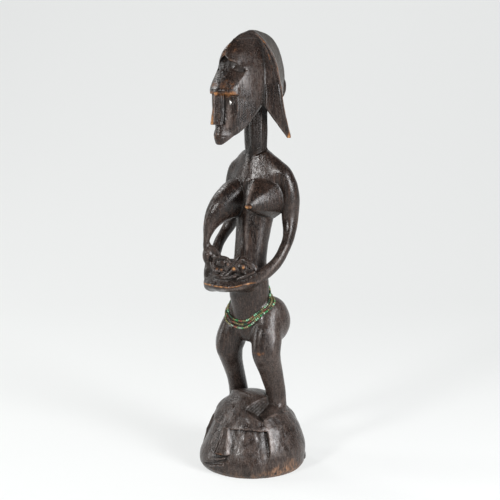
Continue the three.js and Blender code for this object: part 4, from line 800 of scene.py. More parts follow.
def bead_material(name, ramp_shift=0.0):
    M = Mat(name); b = M.b
    P = M.n("TexCoord").outputs["Object"]
    col, r, g, bl = M.attr("bead")
    dirt = M.noise(P, 900.0, 3.0, 0.6)
    c = M.mix(M.maprange(dirt, 0.45, 0.75, 0.0, 0.5), col, (0.07, 0.065, 0.045, 1))
    M.set(b.inputs["Base Color"], c)
    M.set(b.inputs["Roughness"], M.maprange(dirt, 0.3, 0.7, 0.16, 0.42))
    b.inputs["Specular IOR Level"].default_value = 0.30
    M.set(b.inputs["Normal"], M.bump(M.noise(P, 2600.0, 3.0, 0.6), 0.25, 0.0002))
    return M.m

def eye_material():
    M = Mat("eye_metal"); b = M.b
    P = M.n("TexCoord").outputs["Object"]
    n1 = M.noise(P, 1500.0, 4.0, 0.6); n2 = M.noise(M.scaled(P, 3000, 3000, 600), 1.0, 3.0, 0.6)
    M.set(b.inputs["Base Color"], M.mix(M.maprange(n1, 0.45, 0.7), (0.78, 0.77, 0.74, 1), (0.50, 0.47, 0.42, 1)))
    b.inputs["Metallic"].default_value = 0.85
    M.set(b.inputs["Roughness"], M.maprange(n2, 0.3, 0.7, 0.32, 0.52))
    M.set(b.inputs["Normal"], M.bump(n2, 0.25, 0.0002))
    return M.m

def floor_material():
    M = Mat("floor"); b = M.b
    P = M.n("TexCoord").outputs["Object"]
    M.set(b.inputs["Base Color"], M.mix(M.noise(P, 3.0, 2.0), (0.24, 0.244, 0.242, 1), (0.246, 0.25, 0.248, 1)))
    b.inputs["Emission Color"].default_value = (0.985, 1.0, 0.995, 1)
    b.inputs["Emission Strength"].default_value = 0.62
    b.inputs["Roughness"].default_value = 0.9
    b.inputs["Specular IOR Level"].default_value = 0.1
    return M.m

# ------------------------------------------------------------------ per-vertex masks of the carving
def gauss(P, c, r):
    d = (P - np.array(c, np.float32)) / np.array(r, np.float32) if np.ndim(r) else (P - np.array(c, np.float32)) / r
    return np.exp(-(d ** 2).sum(1))

def band(v, a, b, s):
    return 1 / (1 + np.exp(-np.clip((v - a) / s, -60, 60))) * 1 / (1 + np.exp(np.clip((v - b) / s, -60, 60)))

def near_path(P, pts, r):
    return np.exp(-(near_dist(P, pts) / r) ** 2)

def near_dist(P, pts):
    best = np.full(len(P), 1e9)
    pts = np.array(pts, float)
    for a, b in zip(pts[:-1], pts[1:]):
        e = b - a; t = np.clip(((P - a) @ e) / (e @ e), 0, 1)
        best = np.minimum(best, np.linalg.norm(P - a - t[:, None] * e, axis=1))
    return best

def masks(F, P):
    def D(q): return sample(F.D, F.lo, F.h, q)
    d0 = D(P)
    def lap(dl):
        s = -6 * d0
        for k in range(3):
            o = np.zeros(3); o[k] = dl
            s = s + D(P + o) + D(P - o)
        return s / dl ** 2
    l1, l2 = lap(1.3), lap(2.6)
    conv = np.clip(l1 * 0.9 - 0.12, 0, 1) * 0.6 + np.clip(l2 * 1.6 - 0.16, 0, 1) * 0.6
    cave = np.clip(-l1 * 0.9 - 0.10, 0, 1) * 0.7 + np.clip(-l2 * 1.7 - 0.12, 0, 1) * 0.7
    g = np.stack([D(P + np.eye(3)[k] * 0.9) - D(P - np.eye(3)[k] * 0.9) for k in range(3)], 1)
    N = g / np.maximum(np.linalg.norm(g, axis=1), 1e-6)[:, None]
    occ = np.clip(1 - (D(P + N * 5.0) / 5.0), 0, 1)
    # painted shade: darkening from occlusion and concave curvature
    shade_mask = np.clip(cave * 0.8 + np.clip(occ - 0.18, 0, 1) * 0.9, 0, 1)
    x, y, z = P.T
    ax = np.abs(x)
    az = np.degrees(np.arctan2(x, -y))
    w = np.zeros(len(P))
    def put(v, s): np.maximum(w, np.clip(v, 0, 1) * s, out=w)
    head_front = band(y, -90, -49, 1.0)
    n5 = value_noise(P / 5.0, 21); n2 = value_noise(P / 2.2, 22)
    highlight_and_wear = np.zeros(len(P))                                # lighter places: painted highlights where facets and edges face the lamps, with worn, dusty and scratched places
    def lift(v, s): np.maximum(highlight_and_wear, np.clip(v, 0, 1) * s, out=highlight_and_wear)
    put(band(z, 481.6, 486.9, 0.4) * head_front * band(ax, -1, 22.4, 0.7) * (0.55 + 0.5 * n5), 0.9)          # visor's edge
    put(band(z, 488, 501, 2.6) * head_front * band(ax, -1, 20, 2.4) * (0.25 + 0.6 * n5 + 0.6 * n2), 0.56)
    put(gauss(P, (8, -40, 536), (11, 11, 10)) * (0.1 + 1.0 * n5), 0.40)
    put(band(z, 445, 484, 0.5) * band(y, -80, -70.2 - 0.09 * (486 - z), 0.3) * band(ax, -1, 2.2, 0.4) * (0.78 + 0.22 * sstep(474, 452, z)), 0.95)    # nose strip
    put(near_path(P, [(-1, -55, 529), (-1, -50, 537), (0, -43, 544)], 5.0) * band(x, -12, 3.0, 1.0) * (0.4 + 0.8 * n5), 0.85)         # keel of the coiffure
    put(near_path(P, [(0, -55, 529.4), (6, -51.5, 525.6), (12.6, -47, 520.6)], 1.3) * np.clip(conv * 2, 0, 1), 0.6)
    for s in (1, -1):
        r1 = [(s * 8.5, -1.0, 555), (s * 13.2, 1.6, 550), (s * 16, 5.6, 545), (s * 18.6, 10.6, 538), (s * 22.1, 15.0, 529), (s * 24.9, 17.6, 520.7), (s * 27.2, 18.2, 511), (s * 29.4, 18.6, 501), (s * 32.5, 19.0, 489), (s * 33.2, 21, 479), (s * 33.3, 24.0, 466.5), (s * 33.3, 28, 454), (s * 33.3, 33, 440), (s * 33.2, 36, 430)]
        r2 = [(a - s * 1.6, b + 3.6, c) for a, b, c in r1]
        put(near_path(P, r1, 1.15) * (0.5 + 0.7 * n5), 0.80)
        put(near_path(P, r2, 0.9) * (0.4 + 0.6 * n5), 0.6)
        lift(near_path(P, r1, 1.1), 1.0); lift(near_path(P, r2, 0.9), 0.85)
        put(near_path(P, [(s * 14.5, 0.0, 549), (s * 20, 2.6, 538), (s * 24.4, 5, 526), (s * 27.6, 6, 514), (s * 29, 7, 505)], 3.2) * (0.3 + 0.9 * n5), 0.5)
        put(gauss(P, (s * 32.8, 34.5, 427.5), (3.2, 4, 4.4)), 1.0)
        put(near_path(P, [(s * 21.4, -51.6, 484), (s * 20.4, -50.2, 466), (s * 14, -53, 446)], 1.1) * np.clip(conv * 2, 0, 1), 0.45)
        # painted highlight: the lit strip down the cheek plane
        lift(near_path(P, [(s * 10.9, -55.4, 467), (s * 11.1, -55.7, 455), (s * 10.1, -56.4, 445)], 3.0) * (0.4 + 0.8 * n2), 0.8)
        put(near_path(P, [(s * 56.4, 21, 344), (s * 55.8, 22.4, 325), (s * 55.4, 20, 312)], 2.4), 0.34)     # reddish outer edge of the arm
        put(near_path(P, [(s * 51, -3, 284), (s * 56, 8, 300), (s * 56, 26, 340), (s * 56, 24, 372)], 5) * np.clip(conv * 1.2, 0, 1), 0.25)
    put(gauss(P, (33.0, -24.0, 157.6), (10, 6, 3.6)) * (0.4 + 0.8 * n2), 0.85)              # knees
    put(gauss(P, (-38.6, -24.6, 154.4), (4.4, 4.2, 4.4)) * (0.5 + 0.6 * n2), 0.8)
    put(gauss(P, (-1, -67.2, 433.5), (6.5, 4, 5.5)) * (0.35 + 0.9 * n2), 0.62)                                  # lips
    put(gauss(P, (0, -63, 424), (7, 6, 3.5)), 0.24)
    put(near_path(P, [(25.0, -42, 345.6), (30.5, -38.0, 345.2)], 2.6), 1.0)                                 # nipple
    lift(near_path(P, [(13.6, -10.4, 378.2), (25.7, -10.8, 375.6), (34, -5.2, 373.2), (39.4, -0.4, 368.3), (42.2, 2.4, 363)], 1.0), 0.9)
    # painted highlight: the lit inner facet of her left breast
    lift(near_path(P, [(17.2, -17.8, 371.8), (20.7, -25.8, 365.3), (23.4, -33.0, 357.6), (24.6, -37.4, 350.8)], 2.1) * (0.5 + 0.6 * n5), 1.0)
    # painted highlight: the lit streak down the front of the trunk
    lift(near_path(P, [(4.2, -15.8, 322), (6.0, -17.9, 304.5), (8.8, -19.3, 288)], 2.2) * (0.3 + 0.7 * n5), 0.6)
    put(near_path(P, [(-36, -50.5, 320), (-37, -50.5, 306), (-36, -51, 292)], 2.6) * (0.4 + 0.7 * n5), 0.66)
    q = np.sqrt(((x + 4) / 39.2) ** 2 + ((y + 33) / 32.2) ** 2)
    zr = 246.6 - 1.2 * sstep(-14, -34, x) + 5.4 * sstep(14, 38, x)
    put(band(q, 0.95, 1.2, 0.012) * np.exp(-((z - zr + 0.4) / 1.15) ** 2) * band(y, -90, -36, 3) * (0.45 + 0.75 * n5), 0.92)     # worn rim of the tray
    # painted highlight under the tray's rim on the right
    lift(band(q, 0.8, 1.2, 0.02) * np.exp(-((z - zr + 4.2) / 1.8) ** 2) * band(x, 2, 30, 2) * band(y, -90, -30, 3), 0.9)
    put(near_path(P, [(30, -46, 249), (40, -34, 254.5), (48, -21, 264), (53, -8, 277)], 2.4) * np.clip(conv * 1.6, 0, 1), 0.5)
    # painted highlight along the near forearm and the tray's end
    lift(near_path(P, [(38.2, -36.9, 251.4), (49.4, -27.1, 262.7), (57, -13, 280.4), (58.6, 0.9, 296.4)], 2.0) * (0.4 + 0.8 * n5), 0.6)
    for c, r, s in (((14.4, -51.8, 268.3), 2.9, 1.0), ((25.6, -45.9, 271.0), 2.9, 0.8), ((-36.6, -51, 276.2), (3.4, 4, 5), 0.8), ((-10, -55.4, 265.6), 3.0, 0.8), ((-2.4, -55, 265.6), 2.8, 0.72),
                    ((4.0, -50.3, 273.1), 2.6, 0.55), ((34.4, -32.4, 271.7), 2.6, 0.4), ((-31.8, -53.4, 288), 2.6, 0.3), ((-16, -56, 262), 3.0, 0.5)):
        put(gauss(P, c, r), s)
    base = band(z, -5, 101, 1.0)
    brow_z = np.interp(az, [-60, -45, -26, -13, -6, 4, 11, 24, 38, 47, 57, 62], [67, 66, 62.8, 62.2, 61.9, 60.4, 60.1, 61, 60.6, 59.9, 59, 59])
    bl = base * np.exp(-((z - brow_z - 0.3) / 0.9) ** 2) * band(az, -62, 61, 1.5) * np.clip(conv * 2.2, 0, 1)
    put(bl * (0.3 + 0.7 * n5), 0.62); lift(bl, 0.9)
    put(gauss(P, (3, -67.2, 29.6), (9, 5, 1.4)) * np.clip(conv * 2.4, 0, 1), 0.6)
    lift(near_path(P, [(-1.8, -56, 58), (-7.0, -67.4, 29.4)], 1.1) + near_path(P, [(0.2, -56.6, 57), (-3.0, -67.4, 30)], 0.8), 0.9)
    # painted highlight on the right-hand bevel of the nose of the base face
    lift(near_path(P, [(8.4, -56, 56), (11.4, -61, 43), (14.4, -63, 31)], 2.6) * band(x - 0.19 * (62 - z), 5.6, 30, 0.4) * band(y, -66.2, -40, 0.5), 1.0)
    # painted highlight with fine scratches on the bright band at the right end of the face cavity
    lift(near_path(P, [(45.5, -25.6, 65.4), (50.3, -26, 58.4), (54.6, -27.2, 49), (57.6, -28.4, 38)], 4.4) * band(az, 59.6, 80, 0.8) * (0.45 + 0.7 * n2), 1.0)
    pe = near_path(P, [(40.9, -23, 71), (44.6, -12.5, 75.2), (45.6, 3.1, 75.5), (43.8, 22, 73.2)], 1.2)
    lift(pe, 1.0); put(pe, 0.3); lift(gauss(P, (41.5, -22.6, 70.4), (3, 3, 2.4)), 1.0)
    put(base * band(z, 12, 62, 3) * band(az, -64, -48, 2) * np.clip(conv * 2, 0, 1), 0.4)
    put(near_path(P, [(-16, -15, 98), (0, -18, 99.6), (17, -14, 96)], 2.4) * np.clip(conv * 1.5, 0, 1), 0.3)
    lift(base * np.clip(conv * 1.6, 0, 1) * n5, 0.7)
    conv = conv * (1 - band(z, 384, 414, 3) * band(ax, -1, 14, 2) * band(y, -40, 6, 2))
    put(conv * 0.7, 0.26); lift(np.clip(conv * 1.1, 0, 1) * n5, 0.40)
    wear = np.clip(w, 0, 1)
    # painted shade: darkened where shadow falls, under the hairline, in the grooves before the lappets and beside the
    # ridge, beside the nose and in the nostrils, round the neck, in the hollows of the base and under the chest edge
    shade_places = np.zeros(len(P))
    def dark(v, s): np.maximum(shade_places, np.clip(v, 0, 1) * s, out=shade_places)
    for s in (1, -1):
        dark(near_path(P, [(0, -46, 521), (s * 8, -46, 518.5), (s * 14, -43, 515), (s * 19.4, -37.6, 511.5)], 4.0) * band(y, -60, 0, 1), 1.0)
        dark(near_path(P, [(s * 29.4, -11.2, 462), (s * 29.4, -12.2, 474), (s * 29.6, -12.2, 486), (s * 29.4, -11.6, 497), (s * 28.6, -10, 511), (s * 26.2, -8, 524), (s * 21.6, -5.0, 537), (s * 15.4, -4, 546)], 2.8), 1.0)
        dark(near_path(P, [(s * 15, 3, 548), (s * 20.4, 7, 538), (s * 26, 10.6, 523), (s * 30.2, 11.4, 504), (s * 32.6, 13.6, 486), (s * 32.8, 16.6, 470), (s * 33, 22, 454)], 1.6), 0.55)
    # painted shade beside the nose and in the nostrils
    for s in (1, -1):
        dark(near_path(P, [(s * 3.6, -56.4, 481), (s * 3.8, -56.7, 466), (s * 4.8, -57.6, 450)], 1.5), 1.0)
        dark(gauss(P, (s * 2.6, -69.9, 454.8), (1.5, 1.5, 1.5)), 1.0)
    for s in (1, -1):
        dark(near_path(P, [(s * 2.0, -58.2, 478), (s * 2.9, -59.0, 464), (s * 3.9, -60.3, 450)], 2.2) * band(y, -63, -50, 0.6), 1.0)
        dark(gauss(P, (s * 2.6, -69.9, 454.8), (1.5, 1.5, 1.5)), 1.0)
    # painted shade round the neck, under the head
    dark(band(z, 404, 470, 3) * np.exp(-((np.hypot(x, y - 8.5) - 14.2) / 2.0) ** 2) * band(z, 404, 468, 4), 0.84)
    # painted shade in the hollows of the base: by the near foot, at the end of the face cavity and beside its nose
    dark(near_path(P, [(18, -28, 80), (22, -17, 80), (25, -7, 80)], 7.5) * band(z, 68, 90, 1.5), 0.84)
    dark(gauss(P, (45.5, -31, 44), (5, 6, 9)), 0.9)
    dark(near_path(P, [(10.4, -52.6, 55), (15.6, -57.6, 40), (18.0, -60, 30)], 2.0) * band(np.hypot(x, y), 0, 61, 0.6), 0.9)
    # painted shade under the chest edge, on top of her left breast
    dark(near_path(P, [(13.6, -9.2, 377), (25, -6, 374.8), (34, 0, 371), (41, 6, 364)], 2.6) * band(z, 330, 374.6, 0.6), 0.9)
    shade_mask = np.clip(np.maximum(shade_mask, shade_places), 0, 1)
    hz = value_noise(P / 9.0, 11); hz2 = value_noise(P / 3.2, 12)
    low = 5.0 + 8 * (hz - 0.4) + 17 * np.exp(-((az - 84) / 22) ** 2) + 3 * np.exp(-((az - 20) / 30) ** 2)
    raw = np.clip((low - z) / 12 + 0.5 * (hz2 - 0.5) + 0.5 * (hz - 0.5), 0, 1) * (z < 40)
    yr = np.interp(z, [474, 488, 500, 508, 515, 523, 532, 540, 547, 552, 556, 560], [23.6, 20.6, 19.6, 20.0, 20.2, 19.0, 16.6, 13.2, 9.2, 5.6, 2.4, -0.6])
    olive = 1 / (1 + np.exp(-(y - yr - 3.6) / 0.4)) * band(z, 497, 600, 0.8)
    olive = olive * (0.55 + 0.45 * value_noise(P / 7.0, 13))
    hatch = band(x, 8.5, 16.5, 0.3) * band(z, 491, 499.5, 0.3) * band(y, -80, -45, 1)
    cr = np.exp(-(near_dist(P, [(18, -28, 80), (22, -17, 80), (25, -7, 82)]) / 8.0) ** 2) * band(z, 68, 92, 1.5)
    hatch = np.maximum(hatch, cr)
    hatch = np.maximum(hatch, base * band(z, 84, 101, 2) * band(y, -60, 4, 3) * 0.55)
    tone_and_highlight = np.clip(0.55 * (value_noise(P / 24.0, 14) - 0.45) * 2, 0, 1) * 0.30
    tone_and_highlight = np.maximum(tone_and_highlight, 0.30 * base * value_noise(P / 6.0, 15) * (1 - shade_places))
    # legs: streaked lighter tone toward the shins, and painted light on the side facing the right-hand lamp
    tone_and_highlight = np.maximum(tone_and_highlight, (0.10 + 0.16 * np.clip(sstep(160, 140, z) + sstep(62, 84, az) * sstep(232, 222, z), 0, 1)) * band(z, 98, 300, 6) * band(rr_(x, y), 0, 62, 2) * (0.4 + 0.9 * value_noise(P / np.array([4, 4, 14], np.float32), 31)) * (1 - shade_places))
    tone_and_highlight = np.maximum(tone_and_highlight, highlight_and_wear * (1 - 0.7 * np.clip(shade_places, 0, 1)))
    return np.stack([wear, shade_mask, raw], 1), np.stack([olive, hatch, np.clip(tone_and_highlight, 0, 1)], 1)

def value_noise(p, seed):
    rng = np.random.RandomState(seed); T = rng.rand(32, 32, 32).astype(np.float32)
    i = np.floor(p).astype(int); t = (p - i); t = t * t * (3 - 2 * t); out = 0
    for a in (0, 1):
        for b in (0, 1):
            for c in (0, 1):
                w = (t[..., 0] if a else 1 - t[..., 0]) * (t[..., 1] if b else 1 - t[..., 1]) * (t[..., 2] if c else 1 - t[..., 2])
                out = out + w * T[(i[..., 0] + a) % 32, (i[..., 1] + b) % 32, (i[..., 2] + c) % 32]
    return out

def rr_(x, y): return np.hypot(x, y)

def soften(F, lo, hi, sig, weight):
    """rounds the facets inside a box, fading out towards its sides"""
    sl, x, y, z = F.window(lo, hi)
    v = F.D[sl].copy(); r = int(round(2.4 * sig / F.h))
    k = np.exp(-0.5 * (np.arange(-r, r + 1) * F.h / sig) ** 2); k /= k.sum()
    for ax in range(3):
        p = [(0, 0)] * 3; p[ax] = (r, r)
        q = np.pad(v, p, mode="edge"); n = v.shape[ax]; acc = np.zeros_like(v)
        for i in range(2 * r + 1):
            acc += np.float32(k[i]) * np.take(q, np.arange(i, i + n), axis=ax)
        v = acc
    F.D[sl] += (v - F.D[sl]) * np.asarray(weight(x, y, z), np.float32)

def relief(F):
    """shallow hand-tool unevenness of the whole surface"""
    idx = np.flatnonzero(np.abs(F.D.ravel()) < 1.8)
    i, j, k = np.unravel_index(idx, F.D.shape)
    P = np.stack([F.lo[0] + i * F.h, F.lo[1] + j * F.h, F.lo[2] + k * F.h], 1).astype(np.float32)
    n = 0.26 * (value_noise(P / np.array([9, 9, 15], np.float32), 1) - 0.5) + 0.26 * (value_noise(P / np.array([3.4, 3.4, 7], np.float32), 2) - 0.5)
    rough = 1 + 1.6 * (P[:, 2] < 100) * np.clip((104 - P[:, 2]) / 20, 0, 1)
    n = n * rough
    lim = np.clip(P[:, 2] / 3.0, 0, 1)
    F.D.ravel()[idx] += (n * lim).astype(np.float32)

# ------------------------------------------------------------------ waist beads
def hull2(p):
    p = p[np.lexsort((p[:, 1], p[:, 0]))]
    def half(q):
        h = []
        for a in q:
            while len(h) > 1 and (h[-1][0] - h[-2][0]) * (a[1] - h[-2][1]) - (h[-1][1] - h[-2][1]) * (a[0] - h[-2][0]) <= 0: h.pop()
            h.append(a)
        return h[:-1]
    return np.array(half(p) + half(p[::-1]))

BEAD_COLORS = {   # linear
    "mint": (0.30, 0.66, 0.40), "pale": (0.50, 0.66, 0.50), "emerald": (0.030, 0.34, 0.105), "dark": (0.015, 0.085, 0.04),
    "olive": (0.24, 0.225, 0.085), "khaki": (0.36, 0.32, 0.155), "brick": (0.30, 0.075, 0.045), "brown": (0.10, 0.05, 0.03)}

BEAD_Z = [[-180, 239], [-140, 231], [-110, 217], [-90, 208.5], [-72, 202], [-63, 197.8], [-47, 191.6], [-20, 189.4], [0, 189.4], [20, 190.8], [35, 194.4], [48, 199], [60, 204], [70, 208.4], [82, 212.8], [102, 220.6], [120, 229], [142, 235.5], [180, 239]]

def strand(name, F, off, seed, weights):
    """a loop of beads drawn tight round the hips, lower in front; its height is a function of the direction"""
    rng = np.random.RandomState(seed)
    T_ = np.array(BEAD_Z); ctr = np.array([0.0, -1.0])
    azs = np.arange(-180, 180, 2.0)
    def height(a): return np.interp(a, T_[:, 0], T_[:, 1]) + off * (1.08 - 0.5 * sstep(35, 95, np.abs(a)))
    pr_ = []
    rr = np.arange(60, 8, -0.4)
    for a in azs:
        d_ = np.array([math.sin(a * D2R), -math.cos(a * D2R)])
        p = np.stack([ctr[0] + d_[0] * rr, ctr[1] + d_[1] * rr, np.full(len(rr), float(height(a)))], 1)
        s_ = sample(F.D, F.lo, F.h, p); near = (rr < 44) | (abs(a) > 130)
        k = np.flatnonzero((s_ < 0) & near); pr_.append(p[k[0], :2] if len(k) else ctr)
    h = hull2(np.array(pr_))
    clear = 1.12
    ang = np.linspace(0, 2 * np.pi, 721)[:-1]
    d = np.stack([np.cos(ang), np.sin(ang)], 1)
    sup = (h @ d.T).max(0) + clear                                # support function of the taut outline
    ker = np.hanning(17); ker /= ker.sum(); sup = np.convolve(np.concatenate([sup[-8:], sup, sup[:8]]), ker, "valid")
    ds = np.gradient(np.concatenate([sup[-2:], sup, sup[:2]]), ang[1] - ang[0])[2:-2]
    q2 = d * sup[:, None] + np.stack([-d[:, 1], d[:, 0]], 1) * ds[:, None]
    za = height(np.degrees(np.arctan2(q2[:, 0] - ctr[0], -(q2[:, 1] - ctr[1]))))
    za = np.convolve(np.concatenate([za[-8:], za, za[:8]]), ker, "valid")
    pts = np.concatenate([q2, za[:, None]], 1)
    cl = np.concatenate([pts, pts[:1]]); sl = np.concatenate([[0], np.cumsum(np.linalg.norm(np.diff(cl, axis=0), axis=1))])
    total = sl[-1]
    up = np.array([0, 0, 1.0])
    verts, faces, cols = [], [], []
    prof = [(-0.50, 0.26), (-0.47, 0.56), (-0.33, 0.86), (0.0, 1.02), (0.33, 0.86), (0.47, 0.56), (0.50, 0.26)]
    # painted shade: each bead's colour darkened toward its ends, where it meets its neighbours
    shade = [0.05, 0.12, 0.55, 0.85, 0.55, 0.12, 0.05]
    keys = list(weights); pr = np.array([weights[k] for k in keys], float); pr /= pr.sum()
    s = 0.0; run = 0; cur = None; nv = 0
    lens = []
    while s < total - 1.0:
        ln = 1.75 + 0.7 * rng.rand(); lens.append(ln); s += ln + 0.42
    scale = total / (sum(lens) + 0.42 * len(lens)); s = 0.0
    phase = rng.rand(3) * 6.28
    for ln in lens:
        ln *= scale; c = s + ln / 2; s += ln + 0.42 * scale
        i = np.searchsorted(sl, c) - 1; i = min(max(i, 0), len(pts) - 1); f = (c - sl[i]) / max(sl[i + 1] - sl[i], 1e-6)
        p2 = cl[i] * (1 - f) + cl[i + 1] * f; tg = cl[i + 1] - cl[i]; tg = tg / max(np.linalg.norm(tg), 1e-6)
        u01 = c / total * 2 * np.pi
        wob = 0.45 * np.sin(3 * u01 + phase[0]) + 0.30 * np.sin(7 * u01 + phase[1]) + 0.10 * rng.randn()
        o = p2 + up * wob
        T = tg + up * 0.05 * rng.randn(); T /= np.linalg.norm(T)
        A = np.cross(T, up); A /= np.linalg.norm(A); B = np.cross(T, A)
        r = 1.26 + 0.09 * rng.randn(); r = min(max(r, 1.06), 1.42)
        if run <= 0: cur = keys[rng.choice(len(keys), p=pr)]; run = rng.randint(1, 3)
        run -= 1
        col = np.array(BEAD_COLORS[cur]) * (0.8 + 0.4 * rng.rand())
        S = 10; a = np.arange(S) / S * 2 * np.pi + rng.rand()
        ring = np.cos(a)[:, None] * A + np.sin(a)[:, None] * B
        for (tt, rr) in prof: verts.append(o + T * tt * ln * 0.98 + ring * rr * r)
        M_ = len(prof)
        for q in range(M_):
            q2 = (q + 1) % M_
            for w_ in range(S):
                w2 = (w_ + 1) % S
                faces.append((nv + q * S + w_, nv + q * S + w2, nv + q2 * S + w2, nv + q2 * S + w_))
        nv += M_ * S; cols.append(np.repeat(np.array(shade)[:, None] * col[None, :], S, axis=0))
    # the thread inside
    N_ = 90; ss = np.arange(N_) / N_ * total; S = 6; a = np.arange(S) / S * 2 * np.pi
    for c in ss:
        i = min(max(np.searchsorted(sl, c, side="right") - 1, 0), len(pts) - 1); f = (c - sl[i]) / max(sl[i + 1] - sl[i], 1e-6)
        p2 = cl[i] * (1 - f) + cl[i + 1] * f; tg = cl[i + 1] - cl[i]; tg = tg / max(np.linalg.norm(tg), 1e-6)
        u01 = c / total * 2 * np.pi
        wob = 0.45 * np.sin(3 * u01 + phase[0]) + 0.30 * np.sin(7 * u01 + phase[1])
        o = p2 + up * wob; A = np.cross(tg, up); A /= np.linalg.norm(A); B = np.cross(tg, A)
        verts.append(o + (np.cos(a)[:, None] * A + np.sin(a)[:, None] * B) * 0.5)
    for q in range(N_):
        q2 = (q + 1) % N_
        for w_ in range(S):
            w2 = (w_ + 1) % S
            faces.append((nv + q * S + w_, nv + q * S + w2, nv + q2 * S + w2, nv + q2 * S + w_))
    cols.append(np.tile((0.05, 0.035, 0.02), (N_ * S, 1)))
    ob = new_object(name, np.concatenate(verts), faces)
    fix_normals(ob)
    color_attr(ob.data, "bead", np.concatenate(cols))
    return ob

def fix_normals(ob):
    import bmesh
    bm = bmesh.new(); bm.from_mesh(ob.data); bmesh.ops.recalc_face_normals(bm, faces=bm.faces); bm.to_mesh(ob.data); bm.free()

def eye_inlay(name, k):
    """small hammered rhombus, its rim worn round"""
    cx, cz, w, h = 13.0 * k, 473.5, 1.9, 2.7
    rows = [(-54.3, 1.0), (-55.45, 1.0), (-55.75, 0.93), (-55.9, 0.80), (-55.94, 0.4)]
    V, Fc = [], []; S = 24
    for y, f in rows:
        for q in range(S):
            a = q / S * 2 * np.pi; c, s_ = np.cos(a), np.sin(a)
            r = 1 / (abs(c) + abs(s_)) ; r = r * 0.96 + 0.04 * 0.85
            V.append((cx + c * r * w * f + 0.05 * np.sin(3 * a + k) * f, y + 0.05 * np.sin(2 * a), cz + s_ * r * h * f))
    n = len(rows)
    for i in range(n - 1):
        for q in range(S):
            q2 = (q + 1) % S; Fc.append((i * S + q, i * S + q2, (i + 1) * S + q2, (i + 1) * S + q))
    b = len(V); V.append((cx, -54.3, cz)); V.append((cx, -55.92, cz))
    T = [(b, (q + 1) % S, q) for q in range(S)] + [(b + 1, (n - 1) * S + q, (n - 1) * S + (q + 1) % S) for q in range(S)]
    import bmesh
    me = bpy.data.meshes.new(name); bm = bmesh.new()
    vs = [bm.verts.new(Vector(v) * MM) for v in V]
    for f in Fc + T: bm.faces.new([vs[i] for i in f])
    bmesh.ops.recalc_face_normals(bm, faces=bm.faces)
    for f in bm.faces: f.smooth = True
    bm.to_mesh(me); bm.free()
    ob = bpy.data.objects.new(name, me); bpy.context.scene.collection.objects.link(ob)
    return ob

def area(name, az, el, dist, sx, sy, power, color=(1, 1, 1), target=(0, 0, 0.28)):
    a, e = math.radians(az), math.radians(el)
    L = bpy.data.lights.new(name, "AREA"); L.shape = "RECTANGLE"; L.size = sx; L.size_y = sy; L.energy = power; L.color = color
    ob = bpy.data.objects.new(name, L); bpy.context.scene.collection.objects.link(ob)
    ob.location = Vector(target) + Vector((math.sin(a) * math.cos(e), -math.cos(a) * math.cos(e), math.sin(e))) * dist
    ob.rotation_euler = (Vector(target) - ob.location).to_track_quat("-Z", "Y").to_euler()
    return ob

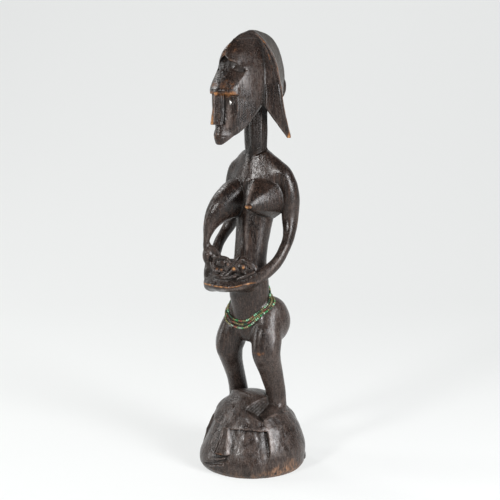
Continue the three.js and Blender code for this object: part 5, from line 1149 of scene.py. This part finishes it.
def main():
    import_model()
    # the carving
    F = build(GRID, False)
    # the neck is cut with eight flats
    def flats(x, y, z):
        t = np.arctan2(x, -(y - 8.5)); d = np.mod(t + np.pi / 8, np.pi / 4) - np.pi / 8
        r = np.hypot(x, y - 8.5)
        return (14.4 - 13.9 / np.cos(d)) * band(z, 412, 480, 3) * np.exp(-((r - 14.4) / 3.0) ** 2)
    F.shift(flats, [-20, -12, 400], [20, 30, 484])
    # breastbone and shoulders, the near breast, the fronts of the thighs: rubbed round
    soften(F, [-42, -26, 362], [48, 26, 420], 5.0, lambda x, y, z: band(z, 383, 403, 3) * band(y, -20, 18, 4) * band(x, -34, 40, 5))
    soften(F, [8, -46, 326], [50, 14, 380], 1.4, lambda x, y, z: band(z, 334, 368, 5) * band(y, -36, 4, 4) * band(x, 16, 44, 4))
    soften(F, [16, -34, 164], [56, 20, 216], 2.2, lambda x, y, z: band(z, 172, 206, 5) * band(y, -28, 12, 4) * band(x, 22, 50, 4))
    soften(F, [26, -10, 70], [56, 26, 100], 3.4, lambda x, y, z: band(z, 79, 92, 2) * band(y, 0, 16, 3) * band(x, 34, 48, 3))
    relief(F)
    V, Q = surface_nets(F.D, F.lo, F.h)
    V[V[:, 2] < 0.35, 2] = 0.0
    V[:, 2] = np.minimum(V[:, 2], 560.0)
    fig = decimated(new_object("carving", V, Q), 190000, 2 * len(Q))
    m1, m2 = masks(F, coords(fig.data))
    color_attr(fig.data, "mask", m1); color_attr(fig.data, "mask2", m2)
    fig.data.materials.append(wood_material())
    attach(fig, "root"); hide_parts("figure")
    green, olive_ = bead_material("beads_green"), bead_material("beads_olive")
    for name, off, seed, mt, wts in (
            ("bead_strand_upper", 4.0, 5, green, {"mint": 2.4, "emerald": 1.6, "pale": 1, "dark": 3, "olive": 4, "khaki": 2, "brick": 0.8}),
            ("bead_strand_middle", 0.0, 6, olive_, {"olive": 5, "khaki": 3.4, "brick": 2.4, "brown": 1.6, "mint": 0.8, "dark": 1.0}),
            ("bead_strand_lower", -4.0, 8, green, {"mint": 2.8, "emerald": 1.4, "pale": 1.6, "olive": 3.4, "khaki": 2.6, "dark": 2, "brick": 0.7})):
        ob = strand(name + "_beads", F, off, seed, wts); ob.data.materials.append(mt)
        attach(ob, "root"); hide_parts(name)
    metal = eye_material()
    for name, k in (("eye_inlay_left", 1), ("eye_inlay_right", -1)):
        ob = eye_inlay(name + "_metal", k); ob.data.materials.append(metal)
        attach(ob, "root"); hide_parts(name)
    # stage: pale floor running up into a backdrop
    n = 28; prof = [(-3.0, 0.0)] + [(0.9 + 1.4 * math.sin(t / n * math.pi / 2), 1.4 * (1 - math.cos(t / n * math.pi / 2))) for t in range(n + 1)] + [(2.3, 4.5)]
    a = math.radians(40); fwd = np.array([-math.sin(a), math.cos(a)]); rgt = np.array([fwd[1], -fwd[0]])
    Vs, Fs = [], []
    for (u, z) in prof:
        for s in (-3.5, 3.5):
            p = fwd * u + rgt * s; Vs.append((p[0] * 1000, p[1] * 1000, z * 1000 - 0.0))
    for i in range(len(prof) - 1): Fs.append((2 * i, 2 * i + 1, 2 * i + 3, 2 * i + 2))
    floor = new_object("floor", Vs, Fs); floor.data.materials.append(floor_material())
    # light
    w = bpy.data.worlds.new("world"); bpy.context.scene.world = w; w.use_nodes = True
    w.node_tree.nodes["Background"].inputs[0].default_value = (0.94, 0.97, 1.0, 1); w.node_tree.nodes["Background"].inputs[1].default_value = 0.06
    area("soft_left", -57, 15, 1.6, 0.26, 1.2, 12, (1.0, 0.985, 0.97))
    area("soft_front", 1, 25, 1.7, 0.26, 0.30, 20, (1.0, 0.99, 0.98))
    area("soft_right", 84, 16, 1.6, 0.50, 0.95, 46, (0.99, 0.985, 1.0))
    area("soft_top", -92, 42, 1.7, 0.30, 0.45, 7, (1.0, 0.99, 0.98))
    # camera
    C = bpy.data.cameras.new("camera"); C.sensor_width = 36; C.lens = 88.83; C.shift_x = -0.003; C.shift_y = 0.00534
    cam = bpy.data.objects.new("camera", C); bpy.context.scene.collection.objects.link(cam)
    cam.location = (0.99632, -1.18737, 0.56)
    cam.rotation_euler = (Vector((0, 0, 0.28)) - cam.location).to_track_quat("-Z", "Y").to_euler()
    bpy.context.scene.camera = cam
    vs = bpy.context.scene.view_settings; vs.view_transform = "Standard"; vs.look = "None"; vs.exposure = 0.0

main()
